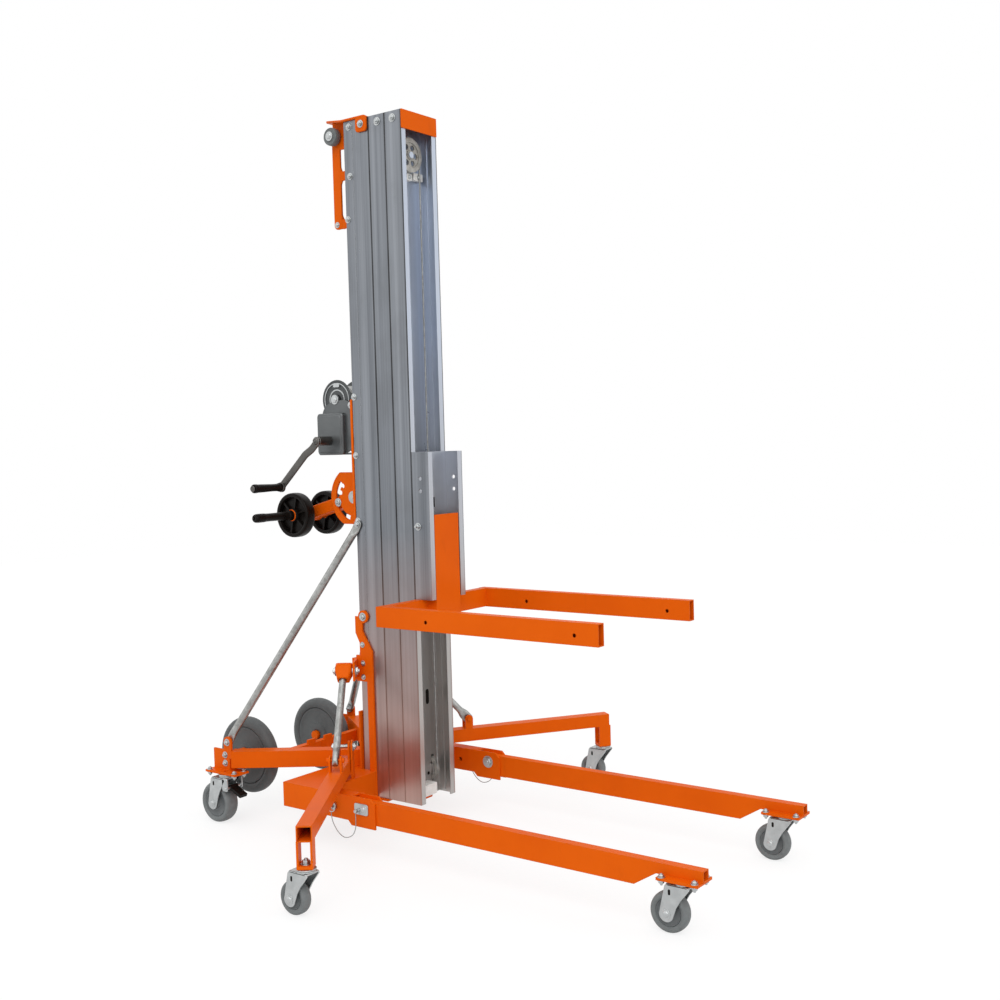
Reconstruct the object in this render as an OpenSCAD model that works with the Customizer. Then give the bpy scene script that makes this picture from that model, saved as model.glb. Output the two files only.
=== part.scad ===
// Material hoist: a hand winch lift with three telescoping mast sections, a fork carriage, folding legs,
// swing-up stabilisers, loading wheels and transport wheels. X points to the forks, Z up, floor at zero.

/* [Mast] */
// Height of the mast top above the floor
mast_top = 1990; // [1800:10:2200]
// Height of the mast foot above the floor
mast_foot = 89; // [86:1:100]
// Width of the mast sections
mast_w = 149; // [130:1:170]
// Depth of the middle section, front section and carriage
mast_d = 58; // [54:1:70]
// Depth of the base section
base_d = 96.5; // [85:0.5:110]
// Wall of the mast extrusions
mast_wall = 4; // [3:0.5:5]
// Width of the front lips that trap the next section
mast_lip = 19.4; // [17:0.1:22]

/* [Carriage and forks] */
// Length of the carriage extrusion
carriage_h = 403; // [340:1:500]
// Height of the underside of the forks above the floor
fork_z = 609; // [560:1:700]
// Height of the fork tube
fork_h = 54; // [40:1:70]
// Width of the fork tube
fork_w = 25; // [20:1:40]
// Wall of the fork tube
fork_wall = 2.5; // [2:0.5:4]
// Length of a fork from the cross tube to its open end
fork_len = 687.5; // [500:0.5:800]
// Half the width over both forks
fork_half = 236; // [180:1:245]
// Diameter of the cross holes in the forks
fork_hole_d = 10; // [6:0.5:16]
// Height of the centre plate above the forks
plate_rise = 231; // [150:1:300]

/* [Rope and sheaves] */
// Diameter of the hoist rope
rope_d = 5; // [4:0.1:5.1]
// Half the distance between the rope runs of one section
rope_half = 42; // [40:0.5:43]
// Drop of the sheaves below the mast top
sheave_drop = 90; // [80:1:120]
// Diameter of the sheave pins
sheave_pin_d = 12; // [8:1:16]
// Rope loops on the drum
drum_loops = 12; // [6:1:12]

/* [Winch] */
// Height of the drum axis
drum_z = 1222; // [1180:1:1260]
// Diameter of the drum flanges
drum_d = 114; // [100:1:120]
// Distance of the crank shaft below the drum axis
crank_drop = 118; // [110:1:125]
// Length of the crank arm between shaft and grip
crank_len = 196; // [150:1:198]
// Diameter of the crank grip
grip_d = 26; // [20:1:30]
// Length of the crank grip
grip_len = 104; // [80:1:120]

/* [Base and legs] */
// Half the distance between the two legs
leg_half = 273; // [265:1:300]
// Front end of the legs ahead of the mast
leg_front = 1088; // [900:1:1200]
// Width of the leg tube
leg_w = 25; // [20:1:40]
// Height of the leg tube
leg_h = 60; // [50:1:70]
// Wall of the leg tube
leg_wall = 2.5; // [2:0.5:4]
// Height of the leg underside above the floor
leg_z = 94; // [92:1:105]
// Leg pivot ahead of the mast
pivot_x = 100; // [90:1:110]
// Diameter of the leg pivot bolts
pivot_d = 12; // [8:1:16]
// Travel room of the leg lock pin, as its shank length outside the ear
pin_out = 14; // [10:1:25]

/* [Rear arms and wheels] */
// Height of the rear arm tubes
rear_h = 48; // [40:1:60]
// Width of the rear arm tubes
rear_w = 40; // [30:1:50]
// Diameter of the transport wheels
transport_d = 228; // [200:1:240]
// Width of the transport wheels
transport_w = 40; // [30:1:42]
// Diameter of the rear caster wheels
rear_wheel_d = 119; // [100:1:120]
// Diameter of the front caster wheels
front_wheel_d = 93; // [80:1:94]
// Diameter of the stabiliser caster wheels
stab_wheel_d = 82; // [70:1:84]
// Diameter of the brace tubes
brace_d = 22; // [16:1:28]

/* [Stabilisers] */
// Length of a stabiliser arm from the hinge frame to its open end
stab_len = 646; // [560:1:700]
// Side of the square arm tube
stab_side = 38; // [30:1:38]
// Wall of the square arm tube
stab_wall = 3; // [2:0.5:4]
// Diameter of the strut
strut_d = 22; // [18:1:24]
// Angle of the arms from straight ahead
stab_yaw = 55; // [50:1:60]

/* [Loading wheels] */
// Diameter of the loading wheels
load_wheel_d = 132; // [110:1:134]
// Width of the loading wheels
load_wheel_w = 34; // [28:1:40]
// Half the length of the loading wheel axle
load_axle_half = 230; // [160:1:240]
// Diameter of the loading wheel axle
load_axle_d = 24; // [18:1:28]

/* [Top] */
// Diameter of the bumper rollers
roller_d = 50; // [40:1:56]
// Length of the grab handles
handle_h = 245; // [200:1:280]
// Finger room between grab handle and mast
handle_gap = 47; // [35:1:55]

/* [Hidden] */
$fn = 48;
// Overrun of every cut
over = 2;
// Gap between pieces that lie against each other
seat = 0.4;
// Radial clearance of a turning fit
run = 0.08;
// Radial clearance of a bolt hole
hole_gap = 0.2;
// Shares of a wheel's tread rounding, web dish and tread step
soft_share = 0.3;
dish_share = 0.22;
step_share = 0.35;
// Share of a pin's diameter that its head, nut or washer has
pin_head_share = 1.5;
wide_head_share = 1.7;
trunnion_head_share = 1.6;

// Planes of the mast sections
mast_gap = 1;
half_w = mast_w / 2;
base_x = -mast_gap / 2 - base_d;
mid_x = mast_gap / 2;
front_x = mid_x + mast_d + mast_gap;
carriage_x = front_x + mast_d + mast_gap;
carriage_front = carriage_x + mast_d;
lip_in = half_w - mast_lip;
tongue_clear = 0.6;
stem_gap = 1.6;
stem_t = 5;
tongue_t = 4;
tongue_side = 2.4;
stem_out = lip_in - stem_gap;
stem_in = stem_out - stem_t;
tongue_out = half_w - mast_wall - tongue_side;
tongue_back = mast_gap + mast_wall + tongue_clear + tongue_t;
flute_w = 3;
flute_deep = 0.8;
flute_shares = [0.38];
base_round = 8;

// Carriage and fork frame
fork_top = fork_z + fork_h;
fork_x = carriage_x;
fork_front = fork_x + fork_len;
fork_hole_shares = [0.2465, 0.904];
fork_hole_z_share = 0.4259259;
fork_hole_z = fork_z + fork_hole_z_share * fork_h;
fork_hole_back = fork_x + fork_hole_shares[0] * fork_len;
fork_hole_front = fork_x + fork_hole_shares[1] * fork_len;
plate_t = 8;
plate_margin = 3;
plate_step = 1;
plate_x = carriage_front - plate_step - plate_t;
cross_step = 0.5;
carriage_low = fork_top - cross_step;
carriage_slot_w = 12;
carriage_slot_y = 11;
carriage_slot_h = 28;
carriage_slot_share = 0.615;
carriage_slot_z = fork_top + carriage_slot_share * carriage_h;
side_hole_d = 11;
side_hole_z_shares = [0.737, 0.821];
anchor_share = 0.588;
anchor_z = fork_top + anchor_share * carriage_h;
anchor_h = 16;
anchor_side = 6;
hub_block_half = 30;
hub_block_low = 27;
hub_block_high = 207;

// Rope route: three top sheaves across the mast, two foot sheaves in line with it
rope_r = rope_d / 2;
pitch_r = rope_half;
rope_fit = 0.35;
groove_rim = 5;
sheave_side = 3.5;
sheave_w = rope_d + 2 * sheave_side;
top_z = mast_top - sheave_drop;
front_sheave_step = 16;
front_top_z = top_z - front_sheave_step;
foot_sheave_rise = 72;
foot_z = mast_foot + foot_sheave_rise;
base_run_in = 60;
run_x0 = base_x + base_run_in;
run_x1 = run_x0 + mast_d + mast_gap;
run_x2 = run_x1 + mast_d + mast_gap;
foot_r = (run_x1 - run_x0) / 2;
foot_rim = 3.5;
foot_side = 2.5;
foot_w = rope_d + 2 * foot_side;
cheek_gap = 1;
cheek_t = 4;
cheek_rise = 14;
sheave_head = 3;
window_gap = 4;
window_top_gap = 6;

// Winch
strip_t = 8.6;
strip_low = 860;
strip_high = 1220;
strip_half = 45;
winch_x = base_x - seat - strip_t;
winch_back_t = 6;
winch_half = 50;
winch_plate_t = 5;
winch_below = 159;
winch_above = 68;
winch_low = drum_z - winch_below;
winch_high = drum_z + winch_above;
winch_reach = 139;
winch_top_drop = 2;
winch_top = drum_z - winch_top_drop;
winch_top_reach = 102;
axle_boss_d = 30;
drum_reach = 79;
drum_x = winch_x - drum_reach;
drum_in = 39;
drum_flange_t = 3;
core_d = 71.2;
axle_d = 16;
axle_nut = 5;
wind_space = 0.6;
wind_lift = 0.4;
wind_pitch = rope_d + wind_space;
wind_r = core_d / 2 + rope_r + wind_lift;
case_w = 14;
case_drop = 39;
case_top = drum_z - case_drop;
case_back = 142;
case_front = 41;
crank_z = drum_z - crank_drop;
crank_behind = 13;
crank_x = drum_x - crank_behind;
crank_shaft_d = 20;
crank_hub_d = 26;
crank_hub_len = 61;
crank_arm_t = 8;
crank_arm_w = 22;
crank_boss_d = 30;
crank_step = 0.5;
crank_angle = 222;
grip_pin_d = 12;
grip_head = 4;
grip_x = crank_x + crank_len * cos(crank_angle);
grip_z = crank_z + crank_len * sin(crank_angle);
case_out = winch_half + case_w;
crank_in = case_out + seat;
crank_out = crank_in + crank_hub_len;
grip_in = crank_out + seat;

// Loading wheel unit
quad_behind = 44;
quad_x = base_x - quad_behind;
quad_z = 940;
quad_r = 88;
quad_in = 27;
quad_t = 6;
quad_low = 862;
quad_high = 1012;
quad_slot_r = 62;
quad_slot_w = 14;
load_pin_d = 12;
load_angle = 194.4;
load_len = 210;
load_up = 10;
load_down = 50;
slot_room = 12;
slot_up = 58;
quad_notch_angles = [142, 166];
quad_notch_d = 14;
quad_notch_in = 10;
load_arm_half = 24;
load_arm_h = 36;
load_arm_wall = 3;
load_hub_d = 34;
load_pivot_d = 16;
load_axle_x = quad_x + load_len * cos(load_angle);
load_axle_z = quad_z + load_len * sin(load_angle);
load_wheel_in = 50;
load_collar = 6;
load_collar_d = 34;

// Base weldment
beam_behind = 102;
beam_back = base_x - beam_behind;
beam_d = 79;
beam_wall = 4;
beam_rise = 2;
beam_z = leg_z + beam_rise;
chan_gap = 0.5;
chan_t = 5;
chan_room = 4;
chan_in = leg_half - leg_w / 2 - chan_gap;
chan_out = leg_half + leg_w / 2 + chan_gap;
deck_z = leg_z + leg_h + chan_room;
deck_t = 5;
deck_top = deck_z + deck_t;
ear_half = 42;
ear_front = pivot_x + ear_half;
ear_back = pivot_x - ear_half;
ear_slope = 12;
ear_drop = 10;
ear_z = leg_z - ear_drop;
ear_round = 14;
cap_behind = 40;
cap_front = pivot_x - cap_behind;
box_front = -35;
deck_front = -45;
upright_t = 6;
upright_in = half_w + seat;
upright_out = upright_in + upright_t;
upright_behind = 8;
upright_back = base_x - upright_behind;
upright_front = -44;
upright_strap_w = 22;
upright_rear = upright_front - upright_strap_w;
upright_neck_w = 26;
upright_neck = upright_back + upright_neck_w;
upright_shoulder = 505;
upright_waist = 560;
upright_waist_high = 576;
upright_bend_z = 556;
upright_nip = 15;
upright_nip_z = 528;
hook_in = 30;
hook_x = upright_back + hook_in;
hook_z = 603;
hook_r = 18;
back_plate_t = 6;
back_plate_top = 330;
foot_plate_t = 5;
foot_stop_half = 25;
upright_bolt_in = 26;
upright_bolt_edge = 7.5;
upright_bolt_x = upright_back + upright_bolt_in;
upright_bolts = [[upright_bolt_x, 523], [upright_bolt_x, 470], [upright_bolt_x, 431],
    [upright_rear + upright_bolt_edge, 133]];
bolt_d = 8;
head_d = 15;
head_h = 6;
pivot_rise = 40;
pivot_z = leg_z + pivot_rise;
lock_x = -5;
lock_rise = 34;
lock_z = leg_z + lock_rise;
lock_d = 12;
lock_head_d = 22;
lock_head_h = 5;
ring_d = 31.4;
ring_wire = 3;
lug_behind = 16;
lug_x = pivot_x - lug_behind;
lug_z = lock_z;
lug_d = 9.4;
lug_half_w = 3.6;
lug_half_h = 9;
lug_plate_t = 3;

// Legs and front casters
leg_back = -20;
leg_cut_long = 173;
leg_cut_short = 116;
leg_tip_rise = 35;
leg_cut_back = leg_front - leg_cut_long;
leg_cut_front = leg_front - leg_cut_short;
leg_tip_z = leg_z + leg_tip_rise;
caster_plate_t = 6;
caster_plate_long = 105;
caster_plate_short = 3;
caster_plate_back = leg_front - caster_plate_long;
caster_plate_front = leg_front - caster_plate_short;
caster_plate_half = 34.5;
front_swivel_behind = 52;
front_swivel_x = leg_front - front_swivel_behind;
front_trail = 36;
front_wheel_w = 31;

// Swivel casters
king_d = 14;
race_d = 46;
race_h = 8;
fork_t = 4;
fork_room = 3;
caster_axle_d = 10;
caster_nut = 4;
caster_ear = 13;
swivel_gap = 0.4;

// Rear arms
rear_z = deck_top;
rear_wall = 4;
rear_start_behind = 27;
rear_start_x = base_x - rear_start_behind;
rear_start_y = 31;
rear_yaw = 145;
rear_len = 392;
rear_swivel_behind = 358;
rear_swivel_x = base_x - rear_swivel_behind;
rear_swivel_y = 272;
rear_trail = 34;
rear_wheel_w = 45;
rear_plate_drop = 17;
rear_plate_long = 72;
rear_plate_short = 55;
rear_plate_z = rear_z - rear_plate_drop;
rear_plate_back = rear_swivel_x - rear_plate_long;
rear_plate_front = rear_swivel_x + rear_plate_short;
rear_plate_half = 36;
corner_t = 6;
corner_long = 65;
corner_short = 3;
corner_back = rear_swivel_x - corner_long;
corner_front = rear_swivel_x - corner_short;
corner_y = 256;
brace_ear_behind = 5;
brace_ear_rise = 71;
brace_ear_x = rear_swivel_x - brace_ear_behind;
brace_ear_z = rear_z + brace_ear_rise;
brace_ear_r = 16;
brace_tab_t = 6;
brace_tab_h = 26;
brace_cut = 44;
brace_end_share = 0.02;
brace_top_behind = 1;
brace_top_x = base_x - brace_top_behind;
brace_top_z = 865;
brace_top_y = upright_in + brace_tab_t / 2;
brace_foot_y = corner_y - seat - brace_tab_t / 2;
tie_behind = 245;
tie_x = base_x - tie_behind;
tie_w = 20;
tie_h = 34;
tie_end = rear_start_y + (tie_x - rear_start_x) * tan(rear_yaw);
tie_tab_back = 8;
tie_tab_in = 20;
tie_tab_out = 50;
tie_tab_h = 12;
stub_behind = 393;
stub_x = base_x - stub_behind;
stub_z = 170;
stub_d = 20;
hub_d = 50;
transport_y = 130;
hub_gap = 1;
stub_end = 5;

// Brake pedals on the rear casters
pedal_x = 30;
pedal_z = 44;
pedal_w = 26;
pedal_len = 48;
pedal_t = 9;
pedal_pin_d = 8;
pedal_drop = 25;

// Stabilisers, each in an upright plane that leaves the base at stab_yaw
stab_behind = 7;
stab_x = base_x - stab_behind;
stab_y = 135;
stab_z = 181;
stab_back = 20;
hinge_s = 40;
hinge_rise = 69;
hinge_z = stab_z + hinge_rise;
hinge_d = 10;
hinge_r = 15;
cheek_room = 1.5;
cheek_in = stab_side / 2 + cheek_room;
hinge_cheek_t = 5;
hinge_cheek_half = 18;
lug_t = 6;
lug_in = 12;
clevis_s = 185;
clevis_rise = 68;
clevis_z = stab_z + clevis_rise;
clevis_in = 12.5;
clevis_t = 5;
clevis_r = 12;
clevis_d = 8;
swivel_z = 455;
swivel_half_len = 30;
swivel_half_h = 23;
swivel_in = 24;
swivel_out = 22;
trunnion_d = 14;
trunnion_deep = 9;
bracket_gap = 4;
bracket_t = 6;
bracket_back = 66;
bracket_front = 16;
bracket_h = 54;
foot_pad_x = base_x - seat;
foot_pad_d = 24;
foot_pad_in = 48;
pad_drop = 10;
upright_tab_z = swivel_z - bracket_h / 2 - pad_drop;
upright_tab_top = swivel_z + bracket_h / 2 + pad_drop;
strut_top = 40;
strut_eye_r = 17;
strut_eye_hole = 12;
strut_eye_t = 16;
strut_cap_d = 26;
strut_cap_h = 4;
strut_len = norm([clevis_s, clevis_z - swivel_z]);
strut_tilt = atan2(clevis_s, swivel_z - clevis_z);
drop_long = 34;
drop_more = 4;
drop_rise = 36;
drop_back = stab_len - drop_long;
drop_front = stab_len + drop_more;
drop_z = stab_wheel_d + drop_rise;
drop_t = 5;
drop_plate_t = 8;
stab_stem_short = 15;
stab_stem_s = stab_len - stab_stem_short;
stab_trail = 38;
stab_wheel_w = 29;

// Top bracket
top_t = 6;
top_low = mast_top + seat;
top_rise = 20;
top_behind = 93;
top_tip = base_x - top_behind;
top_clear = 5;
top_mid_front = mid_x - tongue_back - top_clear;
top_front = -3;
flange_back = -43;
flange_h = 45;
handle_in = 38;
handle_t = 6;
top_tip_half = handle_in + handle_t;
handle_w = 24;
handle_drop = 40;
handle_top = mast_top - handle_drop;
handle_foot_h = 26;
handle_foot_shares = [0, 0.55];
handle_out_x = base_x - seat - handle_gap;
roller_behind = 56;
roller_x = base_x - roller_behind;
handle_head_x = roller_x - roller_d / 4;
handle_head_rise = top_rise * (base_x - handle_head_x) / top_behind;
roller_gap = 2;
roller_z = mast_top - roller_gap - roller_d / 2;
roller_in = 46;
roller_w = 24;
roller_pin_d = 12;
roller_head = 3;
cap_t = 3.5;
cap_h = 50;
cap_side = 1.5;

// Lanyard route from a lock pin to its lug, on the outer side
lanyard_d = 2.4;
lanyard_y = pin_out - ring_wire;
lanyard_points = [[-5, 112], [-2, 92], [8, 74], [22, 60], [40, 52], [58, 55], [74, 66], [82, 82], [84, 100],
    [84, 123]];

// The part's origin lies under the middle of its length
wheel_back = stub_x - transport_d / 2;
frame_x = -(leg_front + wheel_back) / 2;

orange = "#ef6a13";
silver = "#b9bdc2";
zinc = "#aab0b3";
rubber_grey = "#77797c";
dark = "#3a3d40";
black = "#1c1c1d";
wire = "#8d9194";

module block(a, b) translate(a) cube(b - a);
module rod_x(d, x0, x1, y, z) translate([x0, y, z]) rotate([0, 90, 0]) cylinder(d = d, h = x1 - x0);
module rod_y(d, y0, y1, x, z) translate([x, y0, z]) rotate([-90, 0, 0]) cylinder(d = d, h = y1 - y0);
module rod_z(d, z0, z1, x, y) translate([x, y, z0]) cylinder(d = d, h = z1 - z0);
module slab(points, y0, y1) translate([0, y1, 0]) rotate([90, 0,
    0]) linear_extrude(y1 - y0) polygon(points);
module both() {
    children();
    mirror([0, 1, 0]) children();
}
module on_side(side) if (side > 0) children(); else mirror([0, 1, 0]) children();
module placed(shade) color(shade) translate([frame_x, 0, 0]) children();

// A bolt along Y with its head at y1
module bolt_y(d, y0, y1, x, z, wide) {
    rod_y(d, y0, y1, x, z);
    rod_y(wide, y1, y1 + head_h, x, z);
}

// A turned wheel about Y: bore, hub, dished web, rounded tread
module wheel(d, w, bore, hub, rim) {
    r = d / 2;
    soft = soft_share * (d - rim);
    dish = dish_share * w;
    step = step_share * w;
    rotate([90, 0, 0]) rotate_extrude() polygon([[bore / 2, -w / 2], [hub / 2, -w / 2], [hub / 2,
        dish - w / 2],
        [rim / 2, dish - w / 2], [rim / 2, -w / 2], [r - soft, -w / 2], [r - soft / 4, -step], [r, -w / 6],
        [r, w / 6], [r - soft / 4, step], [r - soft, w / 2], [rim / 2, w / 2], [rim / 2, w / 2 - dish],
        [hub / 2, w / 2 - dish], [hub / 2, w / 2], [bore / 2, w / 2]]);
}

// A swivel fork under a plate at height top, about the Z axis, its wheel axle trailing towards -X
module caster(top, king, trail, d, w) {
    crown = top - swivel_gap - race_h;
    inner = w / 2 + fork_room;
    outer = inner + fork_t;
    rod_z(king_d, crown - fork_t, top + king, 0, 0);
    rod_z(race_d, crown, top - swivel_gap, 0, 0);
    block([-trail * 1.1, -outer, crown - fork_t], [race_d / 2, outer, crown]);
    both() {
        slab([[race_d / 2, crown - fork_t], [race_d / 2, crown], [-trail * 1.1, crown],
            [-trail - caster_ear, d / 2], [-trail + caster_ear, d / 2]], inner, outer);
        rod_y(2 * caster_ear, inner, outer, -trail, d / 2);
    }
    rod_y(caster_axle_d, -outer - caster_nut, outer + caster_nut, -trail, d / 2);
    both() rod_y(wide_head_share * caster_axle_d, inner - fork_room + seat, inner, -trail, d / 2);
}

// One telescoping extrusion whose back lies at x: web, side walls, lips, grooves along the sides
module section_2d(x, d, flutes) {
    difference() {
        translate([x, -half_w]) square([d, mast_w]);
        translate([x + mast_wall, mast_wall - half_w]) square([d - 2 * mast_wall, mast_w - 2 * mast_wall]);
        translate([x + mast_wall, -lip_in]) square([d, 2 * lip_in]);
        for (share = flutes, side = [-1, 1])
            translate([x + share * d - flute_w / 2, side * half_w - flute_deep]) square([flute_w,
                2 * flute_deep]);
    }
}

// What a rounded rear corner of the base section leaves out
module base_corner_2d(side) difference() {
    translate([base_x - over, side > 0 ? half_w - base_round : -half_w - over]) square(base_round + over);
    translate([base_x + base_round, side * (half_w - base_round)]) circle(r = base_round);
}

// The two hooked rails at the back of a section, which run behind the lips of the section before it
module tongue_2d(x) {
    for (side = [0, 1]) mirror([0, side]) {
        translate([x - tongue_back, stem_in]) square([tongue_back, stem_t]);
        translate([x - tongue_back, stem_in]) square([tongue_t, tongue_out - stem_in]);
    }
}

// A grooved pulley about Z with its rope pitch circle
module sheave(pitch, wide, rim, bore) {
    floor_r = pitch - rope_r - rope_fit;
    rotate_extrude() polygon([[bore / 2, -wide / 2], [pitch + rim, -wide / 2],
        [floor_r, -rope_r - rope_fit], [floor_r, rope_r + rope_fit], [pitch + rim, wide / 2], [bore / 2,
            wide / 2]]);
}
module top_sheave(x, z) translate([x, 0, z]) rotate([0, 90, 0])
    sheave(pitch_r, sheave_w, groove_rim, sheave_pin_d + 2 * run);
module foot_sheave(x, side) translate([x, side * rope_half, foot_z]) rotate([90, 0, 0])
    sheave(foot_r, foot_w, foot_rim, sheave_pin_d + 2 * run);

// Rope over a top sheave, and rope under a foot sheave
module rope_over(x, z) translate([x, 0, z]) rotate([90, 0, 90])
    rotate_extrude(angle = 180) translate([pitch_r, 0]) circle(d = rope_d);
module rope_under(x, side) translate([x, side * rope_half, foot_z]) rotate([90, 180, 0])
    rotate_extrude(angle = 180) translate([foot_r, 0]) circle(d = rope_d);

// The window and inner cheek for a foot sheave in a section whose back lies at x
module foot_window(x, side) {
    block([x - over, side * rope_half - foot_w / 2 - cheek_gap, foot_z - foot_r - foot_rim - window_gap],
        [x + mast_wall + over, side * rope_half + foot_w / 2 + cheek_gap,
            foot_z + foot_r + foot_rim + window_top_gap]);
}
module foot_cheek(x, cx, side) on_side(side) {
    inner = rope_half - foot_w / 2 - cheek_gap;
    block([cx - cheek_rise, inner - cheek_t, foot_z - cheek_rise], [x + cheek_rise, inner,
        foot_z + cheek_rise]);
    rod_y(sheave_pin_d, inner, stem_in, cx, foot_z);
}

// The frame of one stabiliser: local X runs out along the arm, local Y to its left
module stab_frame(side) on_side(side) translate([stab_x, stab_y, 0]) rotate([0, 0, stab_yaw]) children();
// The strut's own frame: Z runs up the strut from the clevis
module strut_frame(side) stab_frame(side) translate([0, 0, swivel_z]) rotate([0, -strut_tilt,
    0]) children();

module ear_plate(y0, y1) difference() {
    slab([[beam_back, beam_z], [ear_back - ear_slope, beam_z], [ear_back, ear_z], [ear_front, ear_z],
        [ear_front, deck_top - ear_round], [ear_front - ear_round, deck_top], [beam_back, deck_top]],
        y0, y1);
    rod_y(pivot_d + 2 * hole_gap, y0 - over, y1 + over, pivot_x, pivot_z);
    rod_y(lock_d + 2 * run, y0 - over, y1 + over, lock_x, lock_z);
}

module base_half() {
    ear_plate(chan_out, chan_out + chan_t);
    ear_plate(chan_in - chan_t, chan_in);
    block([beam_back, chan_in - chan_t, deck_z], [cap_front, chan_out + chan_t, deck_top]);
    block([beam_back, chan_in - chan_t, beam_z], [box_front, chan_out + chan_t, beam_z + chan_t]);
    block([beam_back, chan_in - chan_t, beam_z], [beam_back + chan_t, chan_out + chan_t, deck_top]);
    block([beam_back, 0, deck_z], [base_x - seat, chan_in, deck_top]);
    block([beam_back, upright_in, deck_z], [deck_front, chan_in, deck_top]);
    block([deck_front - deck_t, upright_in, beam_z], [deck_front, chan_in, deck_top]);
    difference() {
        block([beam_back, 0, beam_z], [beam_back + beam_d, chan_in, deck_z]);
        block([beam_back + beam_wall, -over, beam_z - over],
            [beam_back + beam_d - beam_wall, chan_in - chan_t, deck_z - beam_wall]);
    }
    difference() {
        union() {
            slab([[upright_rear, ear_z], [upright_front, ear_z], [upright_front, upright_shoulder],
                [upright_neck, upright_waist], [upright_neck, upright_waist_high], [hook_x, hook_z],
                [upright_back, hook_z], [upright_back, upright_bend_z],
                [upright_back + upright_nip, upright_nip_z], [upright_back + upright_nip, upright_tab_top],
                [upright_back, upright_tab_top], [upright_back, upright_tab_z],
                [upright_rear, upright_tab_z]], upright_in, upright_out);
            rod_y(2 * hook_r, upright_in, upright_out, hook_x, hook_z);
        }
        for (at = upright_bolts)
            rod_y(bolt_d + 2 * hole_gap, upright_in - over, upright_out + over, at[0], at[1]);
        rod_y(bolt_d + 2 * hole_gap, upright_in - over, upright_out + over, hook_x, hook_z);
    }
    block([base_x - seat - back_plate_t, 0, beam_z], [base_x - seat, upright_out, back_plate_top]);
    block([base_x - seat - back_plate_t, 0, mast_foot - seat - foot_plate_t],
        [-mast_gap, upright_out, mast_foot - seat]);
    block([base_x, 0, mast_foot - seat - foot_plate_t], [front_x + mast_d / 4, foot_stop_half,
        mast_foot - seat]);
    block([foot_pad_x - foot_pad_d, foot_pad_in, swivel_z - bracket_h / 2],
        [foot_pad_x, upright_out, swivel_z + bracket_h / 2]);
    stab_frame(1) {
        for (flip = [0, 1]) mirror([0, flip, 0]) difference() {
            union() {
                block([hinge_s - hinge_cheek_half, cheek_in, deck_z],
                    [hinge_s + hinge_cheek_half, cheek_in + hinge_cheek_t, hinge_z]);
                rod_y(2 * hinge_cheek_half, cheek_in, cheek_in + hinge_cheek_t, hinge_s, hinge_z);
            }
            rod_y(hinge_d + 2 * hole_gap, cheek_in - over, cheek_in + hinge_cheek_t + over, hinge_s,
                hinge_z);
        }
        difference() {
            block([-bracket_back, -swivel_in - bracket_gap - bracket_t, swivel_z - bracket_h / 2],
                [bracket_front, -swivel_in - bracket_gap, swivel_z + bracket_h / 2]);
            rod_y(trunnion_d + 2 * hole_gap, -swivel_in - bracket_gap - bracket_t - over,
                -swivel_in - bracket_gap + over, 0, swivel_z);
        }
    }
}
module base_frame() placed(orange) both() base_half();

module rear_arm(side) placed(orange) on_side(side) {
    difference() {
        union() {
            translate([rear_start_x, rear_start_y, rear_z]) rotate([0, 0, rear_yaw])
                block([0, -rear_w / 2, 0], [rear_len, rear_w / 2, rear_h]);
            block([tie_x - tie_w, 0, rear_z], [tie_x, tie_end, rear_z + tie_h]);
        }
        translate([rear_start_x, rear_start_y, rear_z]) rotate([0, 0, rear_yaw])
            block([-over, rear_wall - rear_w / 2, rear_wall], [rear_len - rear_wall, rear_w / 2 - rear_wall,
                rear_h - rear_wall]);
    }
    block([tie_x - tie_tab_back, tie_tab_in, rear_z], [tie_x, tie_tab_out, rear_z + tie_h + tie_tab_h]);
    difference() {
        block([rear_plate_back, rear_swivel_y - rear_plate_half, rear_plate_z],
            [rear_plate_front, rear_swivel_y + rear_plate_half / 2, rear_plate_z + caster_plate_t]);
        rod_z(king_d + 2 * run, rear_plate_z - over, rear_plate_z + caster_plate_t + over,
            rear_swivel_x, rear_swivel_y);
    }
    block([corner_back, corner_y, rear_plate_z], [corner_front, corner_y + corner_t, rear_z + rear_h]);
    block([corner_front - corner_t, corner_y - rear_w / 2, rear_plate_z],
        [corner_front + corner_t, corner_y + corner_t, rear_z + rear_h / 2]);
    difference() {
        union() {
            block([brace_ear_x - brace_ear_r, corner_y, rear_z + rear_h / 2],
                [brace_ear_x + brace_ear_r, corner_y + corner_t, brace_ear_z]);
            rod_y(2 * brace_ear_r, corner_y, corner_y + corner_t, brace_ear_x, brace_ear_z);
        }
        rod_y(bolt_d + 2 * hole_gap, corner_y - over, corner_y + corner_t + over, brace_ear_x, brace_ear_z);
    }
    rod_y(hub_d, transport_y + transport_w + hub_gap, corner_y, stub_x, stub_z);
    rod_y(stub_d, transport_y - stub_end, corner_y, stub_x, stub_z);
    rod_y(stub_d * 1.4, transport_y - 2 * stub_end, transport_y - hub_gap, stub_x, stub_z);
}
module rear_arm_left() rear_arm(1);
module rear_arm_right() rear_arm(-1);

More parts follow.
